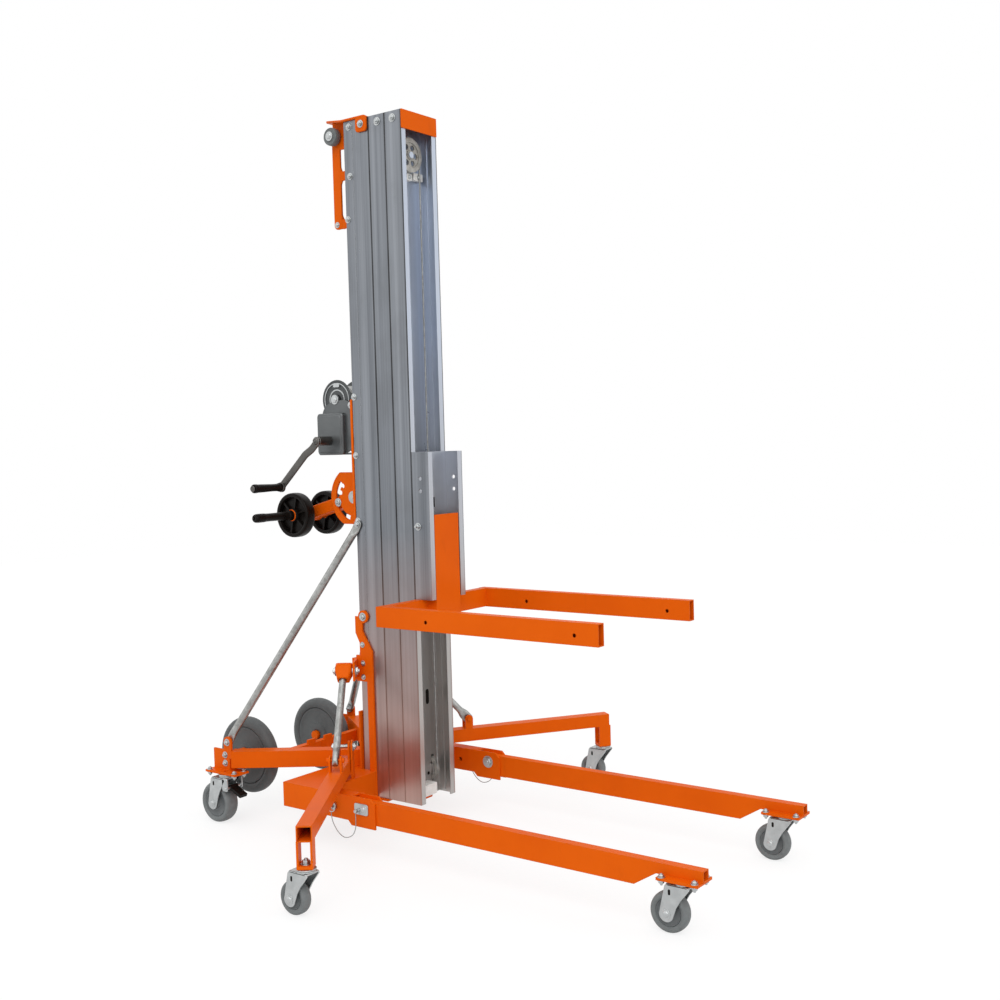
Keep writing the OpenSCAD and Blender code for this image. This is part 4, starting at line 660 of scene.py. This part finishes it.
def hex_bolt(centre, axis, flats, head, stud):
    """A washer, a hexagon drawn in at its edges, and the stud's end, stacked along the axis from a face."""
    axis, first, second = across(axis)
    washer = 1.6
    tall = washer + head
    return [disc(0.82 * flats, 0, washer, 0.4, centre, axis),
            plate(circle(flats / np.sqrt(3), 6), washer, tall, 0.9, (first, second, axis), centre),
            disc(0.27 * flats, tall - 0.5, tall + stud, 0.6, centre, axis, 20)]


def dome_head(centre, axis, flats, head):
    """A button head: a washer, and a dome whose profile is most of a quarter ellipse."""
    washer = 1.4
    rise = np.linspace(0, 0.92 * np.pi / 2, 7)
    profile = np.stack([0.52 * flats * np.cos(rise), washer + head * np.sin(rise)], axis=-1)
    return [disc(0.78 * flats, 0, washer, 0.4, centre, axis), lathe(profile, centre, axis, 24, ring=False)]


def side_bolts(*rows, way=1, head=hex_bolt, sides=WAYS):
    """Heads on the left and the right: each row is x, y, z and the head's sizes, and way is 1 for heads that face
    outwards and -1 for heads that face the middle."""
    return [shape for s in sides for x, y, z, *sizes in rows
            for shape in head(at(x, s * y, z), s * way * Y, *sizes)]


# Casters


def caster_forks():
    """Each fork: two tapered cheeks whose outline runs from the crown's edge round the axle, a crown plate between
    them, a two-part ball race turned about the king pin, and the axle with a head at each end; a rear fork has the
    brake pedal's pin and ears too, and thin black plates on the cheeks are painted shade standing for their slots."""
    race = [(6, 0), (23, 0), (23.4, 2.6), (21.6, 3.4), (21.6, 4.4), (24.2, 5.2), (24.2, 7.2), (22, 8), (6, 8)]
    axle_end = 18 * bearing(np.radians(np.linspace(-12, -176, 16)))
    for kind, wheel, body, trail, top in (
            ("front_caster", "front_wheel", "front_fork", 36, 123),
            ("rear_caster", "rear_wheel", "rear_fork", 34, 146),
            ("stab_caster", "stab_wheel", "stabilizer_fork", 38, 118)):
        for name, _ in SIDES:
            centre, (_, half, _) = box_of(wheel + "_" + name)
            inner, outer = half + 3, half + 7
            crown = top - 8.4 - centre[2] / MM
            cheek = np.vstack([[(-3, crown - 5), (1, crown), (trail + 20, crown), (trail + 22, crown - 5),
                                (0.62 * trail + 14, 0.52 * crown), (0.3 * trail + 14.5, 0.24 * crown)], axle_end])
            king = centre + np.array([trail, 0, crown]) * MM
            shapes = both_sides(cheek, inner, outer, 1.1, centre)
            shapes += [plate(rounded(-1, -outer, trail + 21, outer, 5), crown - 4, crown, 1.2, FLAT, centre),
                       turned(race, king, Z, 48), disc(7, -6, 11, 0.6, king, Z),
                       disc(5, -outer, outer, 0.5, centre)]
            for s in WAYS:
                shapes += dome_head(centre + s * outer * MM * Y, s * Y, 15, 3.2)
            if kind == "rear_caster":
                pin = centre + np.array([trail + 26, 0, top - 36 - centre[2] / MM]) * MM
                shapes.append(disc(4, -outer - 2, outer + 2, 0.6, pin, steps=20))
                shapes += both_sides(rounded(-14, -8, 8, 30, 6), inner, outer, 1, pin)
            put(kind + "_fork_" + name, shapes, ZINC, body + "_" + name, kind + "_" + name)
            # Thin black plates on the cheeks: painted shade standing for the slots
            slot = rounded(-3, crown - 24, 3, crown - 11, 2.9) + [trail * 0.25, 0]
            put(kind + "_slot_shadow_" + name, both_sides(slot, outer - 1, outer + 0.4, 0.2, centre), BLACK,
                body + "_" + name)


caster_forks()


def plate_bolts(s, xs, ys, low, high):
    """A bolt at each corner of a caster plate: its head above the plate and its nut below, each on a washer."""
    return [shape for x in xs for y in ys for z, way, *sizes in ((high, 1, 5, 2), (low, -1, 6, 4))
            for shape in hex_bolt(at(x, s * y, z), way * Z, 11, *sizes)]


def caster_plate_bolts():
    """Four bolts through each caster plate, and two in the side of each rear corner."""
    for name, s in SIDES:
        put("front_plate_bolts_" + name, plate_bolts(s, (993, 1074), (246, 300), 123, 129), ZINC,
            "front_leg_" + name)
        rear = plate_bolts(s, (-516, -411), (246, 282), 146, 152)
        rear += side_bolts(*((-470, 262, z, 12, 5, 3) for z in (172, 196)), sides=(s,))
        put("rear_plate_bolts_" + name, rear, ZINC, "frame")


caster_plate_bolts()


# Loading wheels


def loading_unit():
    """Spoked black wheels: a tread ring and hub turned about the axle, a thin web, and six ribs as radial plates; the
    arm is a round-cornered tube along its slope, with turned axle sleeves outside the wheels."""
    for name, _ in SIDES:
        centre, (radius, half, _) = box_of("load_wheel_" + name)
        tread = mirrored([(0.80 * radius, -0.80 * half), (0.84 * radius, -half), (0.95 * radius, -half),
                          (radius, -0.78 * half)])
        hub = [(12.1, -0.98 * half), (18, -0.98 * half), (20, -0.86 * half), (22, 0), (20, 0.86 * half),
               (18, 0.98 * half), (12.1, 0.98 * half)]
        shapes = [turned(tread, centre, steps=96, passes=2),
                  turned(block(14, -2.5, 0.83 * radius, 2.5), centre, steps=96), turned(hub, centre)]
        rib = [(19, -2.6), (0.82 * radius, -3.4), (0.82 * radius, 3.4), (19, 2.6)]
        for turn in np.linspace(0.3, 0.3 + TURN, 6, endpoint=False):
            spoke = np.cos(turn) * X + np.sin(turn) * Z
            plane = (spoke, np.cross(spoke, Y), Y)
            shapes.append(plate(rib, -0.62 * half, 0.62 * half, 0.8, plane, centre))
        put("loading_wheel_" + name + "_spoked", shapes, BLACK, "loading_wheel_" + name, "load_wheel_" + name)
        put("loading_wheel_bush_" + name,
            [turned(block(12.2, -2.5, 17, 2.5), centre + s * (half - 0.6) * MM * Y) for s in WAYS], ORANGE,
            "loading_wheel_" + name)
    angle, length = np.radians(194.4), 0.210
    pivot = at(LOAD_PIVOT_X, 0, LOAD_PIVOT_Z)
    ahead = np.array([np.cos(angle), 0, np.sin(angle)])
    axle = pivot + length * ahead
    path = np.stack([pivot + 0.008 * ahead, pivot + 0.012 * ahead, axle - 0.004 * ahead, axle])
    put("loading_arm_tube", [sweep(rounded(-24, -18, 24, 18, 5), path, Y),
                             disc(17, -24, 24, 1.5, pivot, steps=48), disc(21, -27, 27, 2, axle, steps=48)],
        ORANGE, "loading_arm", "load_arm")
    sleeve = [(8, 84.5), (15, 84.5), (15.5, 88), (15.5, 98), (12, 104), (11.5, 186), (13, 194), (13, 222),
              (10.5, 229.5), (4, 229.5), (4, 226), (8, 226)]
    shapes = [disc(12, -86, 86, 1, axle, steps=40), disc(8.5, -226, 226, 1, axle, steps=40)]
    shapes += [turned(p, axle, s * Y, 48, 2) for p in (sleeve, block(11, 28, 16.5, 49.5)) for s in WAYS]
    put("loading_axle_sleeves", shapes, BLACK, "loading_arm")
    lock = pivot + 0.062 * ahead
    shapes = [disc(6, -39, 39, 0.8, lock, steps=24)]
    for s in WAYS:
        shapes += hex_bolt(lock + s * 0.0334 * Y, s * Y, 15, 4, 1.5)
    put("loading_arm_lock_pin", shapes, ZINC, "loading_arm")


loading_unit()


# Winch


def hand_crank():
    """The crank: a flat bar with round edges carried from the hub to the grip with one outward joggle, turned hub
    and boss, and a grip turned about its pin."""
    hub, reach, angle = at(-198, 0, 1104), 0.196, np.radians(222)
    ahead = np.array([np.cos(angle), 0, np.sin(angle)])
    out = -Y
    distance = np.array([0, 4, 30, 36, 56, 62, 190, 196])[:, None] * MM
    offset = np.array([111, 111, 111, 111.5, 120.5, 121, 121, 121])[:, None] * MM
    bar = sweep(rounded(-11, -4, 11, 4, 3), hub + distance * ahead + offset * out, np.cross(ahead, out))
    end = hub + reach * ahead
    sleeve = [(7, 64.6), (12.5, 64.6), (13, 66), (13, 112), (11.5, 113), (11.5, 119), (8, 124.5), (4, 125.4),
              (4, 64.6)]
    shapes = [bar, turned(sleeve, hub, out, 40), disc(10, 45, 66, 1, hub, out),
              disc(14.5, 116.5, 125.4, 1.2, end, out, 40), disc(6, 118, 233.5, 0.8, end, out, 24),
              disc(9, 230.2, 234.2, 1.2, end, out)]
    shapes += hex_bolt(hub + 0.117 * out, out, 15, 5, 2)
    put("crank_bar", shapes, STEEL, "winch_crank", "crank")
    grip = [(6.2, 125.9), (12.2, 125.9), (12.9, 128), (12.9, 132), (10.8, 137), (10.6, 160), (11.8, 195), (12, 214),
            (12.9, 219), (12.9, 227), (11.5, 229.7), (6.2, 229.7)]
    put("crank_hand_grip", [turned(grip, end, out, 48, 2)], BLACK, "winch_grip", "crank_grip")


hand_crank()


def winch():
    """The winch: dished drum flanges and core turned about the drum axle, raised rings on the flanges and a rope
    clamp on the near one, a body of plates with round corners, round bosses at the axle, a gear case with its
    cover, and an orange strip behind."""
    axis = at(DRUM_X, 0, DRUM_Z)
    drum = mirrored([(8.2, -42), (20, -42), (24, -40), (44, -40), (50, -42), (55, -42.4), (57, -41.4), (57, -39.4),
                     (54, -38.6), (36, -38.6), (35.6, -38)])
    put("drum_spool", [turned(drum, axis, steps=96)], DRUM, "rope_drum", "winch_drum")
    axle = [disc(8, -54.5, 54.5, 1, axis)] + side_bolts((DRUM_X, 50.4, DRUM_Z, 17, 3, 0.6))
    put("drum_axle", axle, ZINC, "rope_drum")
    rings = (block(45.5, 41.2, 48.5, 42.9), block(26, 39.6, 30, 41.4))
    clamp = [turned(ring, axis, s * Y, 72) for s in WAYS for ring in rings]
    clamp.append(plate(rounded(-196, 1258, -172, 1270, 4), -43.6, -40.6, -0.8))
    put("drum_rope_clamp", clamp, ZINC, "rope_drum")
    cheek = soften([(-245, 1063), (-106, 1063), (-106, 1219.9), (-208, 1219.9), (-245, 1183)], 3)
    shapes = both_sides(cheek, 45, 50, 1.2) + [disc(15, 45.3, 49.7, 1, axis, s * Y, 40) for s in WAYS]
    shapes += [plate(rounded(-50, 1063, 50, 1290, 10), -112, -106, 1.5, FACE),
               plate(rounded(-245, -49, -106, 49, 4), 1063, 1068, 1.2, FLAT),
               plate(rounded(-248, 1063, -147, 1183, 9), -62.5, -49.5, 3),
               plate(rounded(-241, 1070, -154, 1176, 8), -64, -61, 1.2)]
    put("winch_housing", shapes, WINCH, "frame", "winch_body")
    put("winch_back_strip", [plate(rounded(-72, 861, 72, 1219, 4), -105.8, -97.6, 1.2, FACE)], ORANGE, "frame")
    screws = hex_bolt(at(-124, -50, 1204), -Y, 12, 4.5, 2)
    for y in (-36, 36):
        for z in (1090, 1262, 1280):
            screws += hex_bolt(at(-112, y, z), -X, 13, 5, 3)
    put("winch_screws", screws, ZINC, "frame")


winch()


# Top bracket


def top_fittings():
    """The orange top fitting: a cap plate whose tongue narrows and rises backwards over the rollers, side ears, two
    grab handles of flat bar with round feet, the rollers turned about their pin, and the front section's cap."""
    x = np.array([-14.1, -15, -97, -98, -180, -187, -189.6, -190])[:, None]
    half = np.array([80.2, 80.9, 80.9, 80.5, 48, 44.5, 41, 38])[:, None]
    low = 1990.4 + 20 * np.clip((-97 - x) / 93, 0, 1)
    y = half * np.array([1, 1, 1, 1, -1, -1, -1, -1]) + np.array([-1, 0, 0, -1, 1, 0, 0, 1])
    feet = (1705, 1840)
    shapes = [skin(at(x, y, low + np.array([0, 1, 5, 6, 6, 5, 1, 0])))]
    shapes += both_sides(rounded(-43, 1952, -3, 1996.1, 9), 74.9, 80.8, 1)
    cheek = [(-165, 1936), (-155, 1927), (-97.6, 1927), (-97.6, 1992.4), (-164, 2006.5)]
    shapes += both_sides(cheek, 38.3, 43.7, 0.9)
    shapes += both_sides(rounded(-168, 1705, -139, 1958, 11), 38, 44, 1.2)
    for foot in feet:
        shapes += both_sides(rounded(-166, foot, -97.6, foot + 26, 12), 38.4, 43.6, 1.2)
        web = [(-140, foot - 14), (-134, foot - 1), (-118, foot + 2), (-118, foot + 24), (-134, foot + 27),
               (-140, foot + 42)]
        shapes += both_sides(web[foot == feet[0]:], 38.6, 43.4, 0.8)
    put("top_fitting", shapes, ORANGE, "frame", "top_bracket")
    pin = at(ROLLER_X, 0, ROLLER_Z)
    pins = [disc(6, 0, 71, 0.8, pin, s * Y, 24) for s in WAYS]
    pins += side_bolts((-23, STRIP_HALF, 1973, 13, 5, 3))
    pins += side_bolts((ROLLER_X, 70.4, ROLLER_Z, 17, 3.6), (-157, 44, 1718, 11, 4),
                       *((-110, 43.6, foot + 13, 11, 4) for foot in feet), head=dome_head)
    put("top_fitting_pins", pins, ZINC, "frame")
    tread = [(6.2, 46.4), (12, 46.4), (13, 49), (20, 49), (23, 47), (25, 51), (25, 65), (23, 69), (20, 67), (13, 67),
             (12, 69.6), (6.2, 69.6)]
    put("bumper_rollers_turned", [turned(tread, pin, s * Y) for s in WAYS], RUBBER, "bumper_rollers",
        "top_rollers")
    put("front_cap_plate", [plate(rounded(-74.4, 1940, 74.4, 1990.5, 2), 117.6, 121, 0.9, FACE),
                            plate(rounded(60, -73, 120, 73, 2), 1989.4, 1990.4, 0.4, FLAT)],
        ORANGE, "front_mast", "front_cap")


top_fittings()


# Fasteners on the frame and the masts


def stabiliser_place(s):
    """Where a stabiliser stands on side s: its root on the floor, its strut's trunnion above that, the way it
    points, and the way across it."""
    yaw, rise = np.radians(55), 0.455
    root = at(-104, s * 135, 0)
    out = np.array([np.cos(yaw), s * np.sin(yaw), 0])
    return root, root + rise * Z, out, np.array([-np.sin(yaw), s * np.cos(yaw), 0])


def mast_fasteners():
    """Bolts through the mast sides, strips and legs, the lanyards' lugs, the stabilisers' hinge bolts and trunnions,
    the loading arm's pivot, and the screws of the moving sections and the carriage."""
    still = side_bolts(
        *((x, STRIP_HALF, z, 10, 4, 2) for x, z in ((-79, 523), (-79, 470), (-79, 431), (-58.5, 133))),
        *((x, MAST_HALF, z, 12, 4.5, 2.5) for x, z in ((-73, 1974), (-73, 1838), (-86, 1720), (-86, 1225),
                                                       (-86, 1060), (-86, 875))),
        (-75, STRIP_HALF, 603, 15, 5.5, 3), (BRACE_HEAD_X, STRIP_HALF, BRACE_HEAD_Z, 11, 4.5, 2.5),
        (BRACE_FOOT_X, 262, BRACE_FOOT_Z, 13, 5.5, 3), (LOAD_PIVOT_X, 33, LOAD_PIVOT_Z, 22, 4.5, 1.5))
    still += side_bolts((100, 255, 134, 22, 5.5, 2), (BRACE_FOOT_X, 249.6, BRACE_FOOT_Z, 13, 5.5, 2), way=-1)
    still += side_bolts((103, 294, 134, 15, 3.5), head=dome_head)
    still += both_sides(rounded(72, 118, 120, 148, 6), 291, 294.2, 0.7)
    still.append(disc(8, -33, 33, 0.6, at(LOAD_PIVOT_X, 0, LOAD_PIVOT_Z), steps=28))
    for name, s in SIDES:
        still.append(disc(4.7, 0, 14, 0.6, at(84, s * 291, 128), s * Y, 24))
        root, trunnion, out, left = stabiliser_place(s)
        hinge, king = root + 0.040 * out + 0.250 * Z, root + 0.631 * out + 0.1262 * Z
        put("stab_king_nut_" + name, hex_bolt(king, Z, 17, 8, 4), ZINC, "stabilizer_arm_" + name)
        for way in WAYS:
            still += hex_bolt(hinge + way * 0.0255 * left, way * left, 17, 5, 3)
        still += [disc(5, -26, 26, 0.6, hinge, left, 24), disc(7, -34, -15, 0.6, trunnion, left, 28),
                  disc(11, -28, -24.4, 0.6, trunnion, left, 28)]
        still += hex_bolt(trunnion - 0.034 * left, -left, 20, 6, 4)
    put("frame_bolts", still, ZINC, "frame", "bolts")
    put("carriage_bolts", side_bolts((136, MAST_HALF, 863, 13, 6, 6)), ZINC, "lift_carriage")
    for name, x in (("middle_mast", 33), ("front_mast", 88)):
        put(name + "_screws", side_bolts((x, MAST_HALF, 1971, 14, 4.5, 3)), ZINC, name)


mast_fasteners()


# Sheaves and guides


def drilled(inner, outer, ring, hole, count, low, high, centre, axis):
    """A flat disc with a ring of round holes, as one cell for each hole: the cell's border and the hole, each at both
    faces, are four loops joined in a ring, and each hole point lies on the line from the hole's middle to the
    border."""
    axis, first, second = across(axis)
    half = np.pi / count
    arc = np.linspace(-half, half, 11)
    spoke = np.linspace(outer, inner, 7)[1:-1]
    radius = np.concatenate([np.full(11, outer), spoke, np.full(11, inner), spoke[::-1]])
    angle = np.concatenate([arc, np.full(5, half), arc[::-1], np.full(5, -half)])
    border = radius[:, None] * bearing(angle)
    middle = np.array([ring, 0])
    bore = middle + hole * unit(border - middle)
    heights = np.array([high, high, low, low])[:, None, None] * MM
    cells = []
    for turn in np.arange(count) * TURN / count:
        spin = np.array([[np.cos(turn), np.sin(turn)], [-np.sin(turn), np.cos(turn)]])
        loops = np.stack([border, bore, bore, border]) @ spin * MM
        cells.append(skin(centre + loops[..., :1] * first + loops[..., 1:] * second + heights * axis, ring=True))
    return cells


def turned_sheaves():
    """Each sheave: a grooved rim and a hub turned about the pin, and a thin web with six holes between them."""
    for name, axis in (("base", 0), ("mid_top", 0), ("front_top", 0), ("mid_foot", 1), ("front_foot", 1)):
        node = name + "_sheave"
        centre, halves = box_of(node)
        way, radius, half = np.eye(3)[axis], halves[2], halves[axis]
        floor = radius - (6 if radius > 40 else 4.5)
        rim = mirrored([(floor - 6, -half), (radius, -half), (radius, -half + 0.8), (floor, -2.4)])
        hub = mirrored([(6.3, -half), (12, -half), (13, -0.6 * half)])
        shapes = [lathe(profile, centre, way, 72) for profile in (rim, hub)]
        shapes += drilled(12.5, floor - 5.5, (floor + 7) / 2, 0.36 * (floor - 19), 6, -0.4 * half, 0.4 * half, centre,
                          way)
        put(node + "_turned", shapes, SHEAVE, node + "_body", node)


turned_sheaves()


def mast_guides():
    """Guide blocks with screws, thin black plates on the front section's web that are painted shade standing for its
    slot and round hole, and a rib up each of its inner walls.
    """
    web, guide = 63.4, 77.5
    # Painted shade: thin black plates on the web stand for a slot and a round hole
    put("front_web_hole_shadows", [plate(rounded(21, 348, 34, 391, 6), 63.2, 64.2, 0.4, FACE),
                            plate(circle(5) + [23, 150], 63.2, 64.2, 0.4, FACE)], BLACK, "front_mast")
    blocks = ((-8, 1816, 14, 1836, guide), (21, 1820, 61, 1841, guide), (-40, 100, 17, 132, 100))
    put("front_guide_blocks", [plate(rounded(*corners, 3), web, face, 1.5, FACE) for *corners, face in blocks],
        PALE, "front_mast")
    put("front_mast_ribs", [plate(rounded(y, 95, y + 2.8, 1985, 0.6), 82, 86, 0.5, FACE) for y in (67.8, -70.6)],
        ALUMINIUM, "front_mast")
    screws = [p for y, z in ((3, 1826), (41, 1830)) for p in dome_head(at(guide, y, z), X, 8, 2)]
    put("front_guide_screws", screws, ZINC, "front_mast")


mast_guides()


# Braces and stabiliser struts


def pressed_tube(path, side, radius, flat, thick, ends):
    """A round tube pressed flat at chosen ends: along the path the section is an ellipse whose half sizes ease from
    the flat's width and thickness to the radius, squarer where it is flat, and a flat end is closed round, as a
    circle of the flat's half width."""
    run = run_of(path)
    far, neck = run[-1], 2.6 * radius
    pressed = np.concatenate([flat * (1 - np.cos(np.linspace(0, np.pi / 2, 9))),
                              np.linspace(2 * flat, 2 * flat + neck, 9)])
    plain = np.array([0, 2 * radius])
    s = np.concatenate([pressed if ends[0] else plain, far - (pressed if ends[1] else plain)[::-1]])
    room = np.minimum(s if ends[0] else far, far - s if ends[1] else far)
    share = np.clip((room - 2 * flat) / neck, 0, 1)
    share = share * share * (3 - 2 * share)
    bow = np.sqrt(np.clip(1 - np.clip(1 - room / flat, 0, 1) ** 2, 0.002, 1))
    wide = (flat + (radius - flat) * share) * bow
    deep = thick + (radius - thick) * share
    square = 0.55 + 0.45 * share[:, None]
    cos, sin = circle(1, 28).T
    a = deep[:, None] * np.sign(cos) * np.abs(cos) ** square
    b = wide[:, None] * np.sign(sin) * np.abs(sin) ** square
    return carried(along(path, run, s), side, a, b)


def brace_tubes():
    """Two slanted tubes, flat and round-ended at their bolts: each flat keeps to its plate's plane and the tube runs
    straight from one to the other."""
    tubes = []
    for s in WAYS:
        head, foot = at(BRACE_HEAD_X, s * 77.9, BRACE_HEAD_Z), at(BRACE_FOOT_X, s * 252.6, BRACE_FOOT_Z)
        down = unit((foot - head) * [1, 0, 1])
        bend = 0.030 * down + s * 0.002 * Y
        path = np.stack([head - 0.013 * down, head + 0.016 * down, head + bend, foot - bend, foot - 0.016 * down,
                         foot + 0.013 * down])
        tubes.append(pressed_tube(path, Y, 0.011, 0.013, 0.0028, (True, True)))
    put("brace_tubes", tubes, GALVANISED, "frame", "braces")


brace_tubes()


def stabiliser_links():
    """Each strut is a tube with its foot pressed flat at the clevis bolt; its head slides in a swivel housing: square
    sections whose half width follows the sleeve's circle above and narrows below, round a bore."""
    reach, drop, bore, power = 185, 206, 11.5, 7
    tilt, length = np.arctan2(reach, drop), np.hypot(reach, drop) * MM
    z = np.array([-30, -29, -24, -16, -8, -3, 3, 8, 12, 15, 17.5, 19])
    arch = np.sqrt(np.maximum(23 ** 2 - z ** 2, 0))
    half_x = np.where(z < -8, np.interp(z, [-30, -29, -16, -8], [15, 16, 19, 21.6]), arch)
    half_y = np.interp(z, [-30, -29, -24, -8], [16, 17, 18, 23])
    cos, sin = circle(1, 64).T
    far = (np.abs(cos / half_x[:, None]) ** power + np.abs(sin / half_y[:, None]) ** power) ** (-1 / power)
    far = np.vstack([far, np.full((2, 64), bore)])
    high = np.append(z, [19, -30])[:, None, None]
    shift = np.append(np.full(12, -1), [0, 0])[:, None]
    for name, s in SIDES:
        _, middle, out, left = stabiliser_place(s)
        up = np.cos(tilt) * Z - np.sin(tilt) * out
        front = np.cos(tilt) * out + np.sin(tilt) * Z
        housing = skin(middle + MM * ((far * cos)[..., None] * front + high * up
                                      + (far * sin + shift)[..., None] * left), ring=True)
        put("stab_swivel_sleeve_" + name, [housing], ORANGE, "strut_swivel_" + name, "stab_swivel_" + name)
        put("stab_swivel_nut_" + name, hex_bolt(middle + 0.022 * left, left, 17, 5, 2.5), ZINC,
            "strut_swivel_" + name)
        end = middle - length * up
        path = np.stack([middle + 0.017 * up, middle - 0.05 * up, end + 0.05 * up, end - 0.016 * up])
        put("stab_strut_tube_" + name, [pressed_tube(path, left, 0.0098, 0.015, 0.008, (False, True))], GALVANISED,
            "strut_" + name, "stab_strut_" + name)


stabiliser_links()


# Stage and light


def white_for_eye(tree):
    """1 for rays from the eye, from gloss and through glass, 0 for the rest."""
    path = add(tree, "LightPath").outputs
    gloss = worked("MAXIMUM", path["Is Camera Ray"], path["Is Glossy Ray"])
    return worked("MAXIMUM", gloss, path["Is Transmission Ray"])


def pale_floor():
    """A floor that is white to the eye but keeps a soft shadow, and plain matt to the light."""
    reach = 9
    mesh = bpy.data.meshes.new("floor")
    mesh.from_pydata([(-reach, -reach, 0), (reach, -reach, 0), (reach, reach, 0), (-reach, reach, 0)], [],
                     [(0, 1, 2, 3)])
    linked("floor", mesh)
    pale, tree, shader = begin("pale_floor")
    tree.nodes.remove(shader)
    matt = add(tree, "BsdfDiffuse", Color=(0.80, 0.80, 0.80, 1))
    shade = add(tree, "BsdfDiffuse", Color=(0.24, 0.24, 0.24, 1))
    glow = add(tree, "Emission", Strength=0.78)
    both = add(tree, "AddShader", i0=shade.outputs[0], i1=glow.outputs[0])
    mixed = add(tree, "MixShader", Fac=white_for_eye(tree), i1=matt.outputs[0], i2=both.outputs[0])
    tree.links.new(mixed.outputs[0], tree.nodes["Material Output"].inputs["Surface"])
    mesh.materials.append(pale)


def stage_and_light():
    """The floor, a white surround for the eye and for reflections, and four broad suns."""
    scene = bpy.context.scene
    scene.view_settings.view_transform = "Standard"
    pale_floor()
    world = bpy.data.worlds.new("studio")
    scene.world = world
    world.use_nodes = True
    tree = world.node_tree
    back = tree.nodes["Background"]
    tree.links.new(spread(white_for_eye(tree), 0.55, 1), back.inputs["Strength"])
    back.inputs["Color"].default_value = (1, 1, 1, 1)
    for name, place, aim_z, width, power in (
            ("key_lamp", (2, -3, 4.2), 0.9, 50, 1.15), ("top_lamp", (-0.5, 0.6, 4), 0.6, 80, 0.55),
            ("front_lamp", (4, 0.6, 1.6), 0.9, 60, 0.42), ("fill_lamp", (-3, -2.4, 2.4), 0.9, 60, 0.30)):
        lamp = bpy.data.lights.new(name, "SUN")
        lamp.angle = np.radians(width)
        lamp.energy = power
        away, first, second = across(np.array(place) - aim_z * Z)
        turn = Matrix(np.column_stack([first, second, away]).tolist()).to_4x4()
        linked(name, lamp).matrix_world = Matrix.Translation(place) @ turn


stage_and_light()
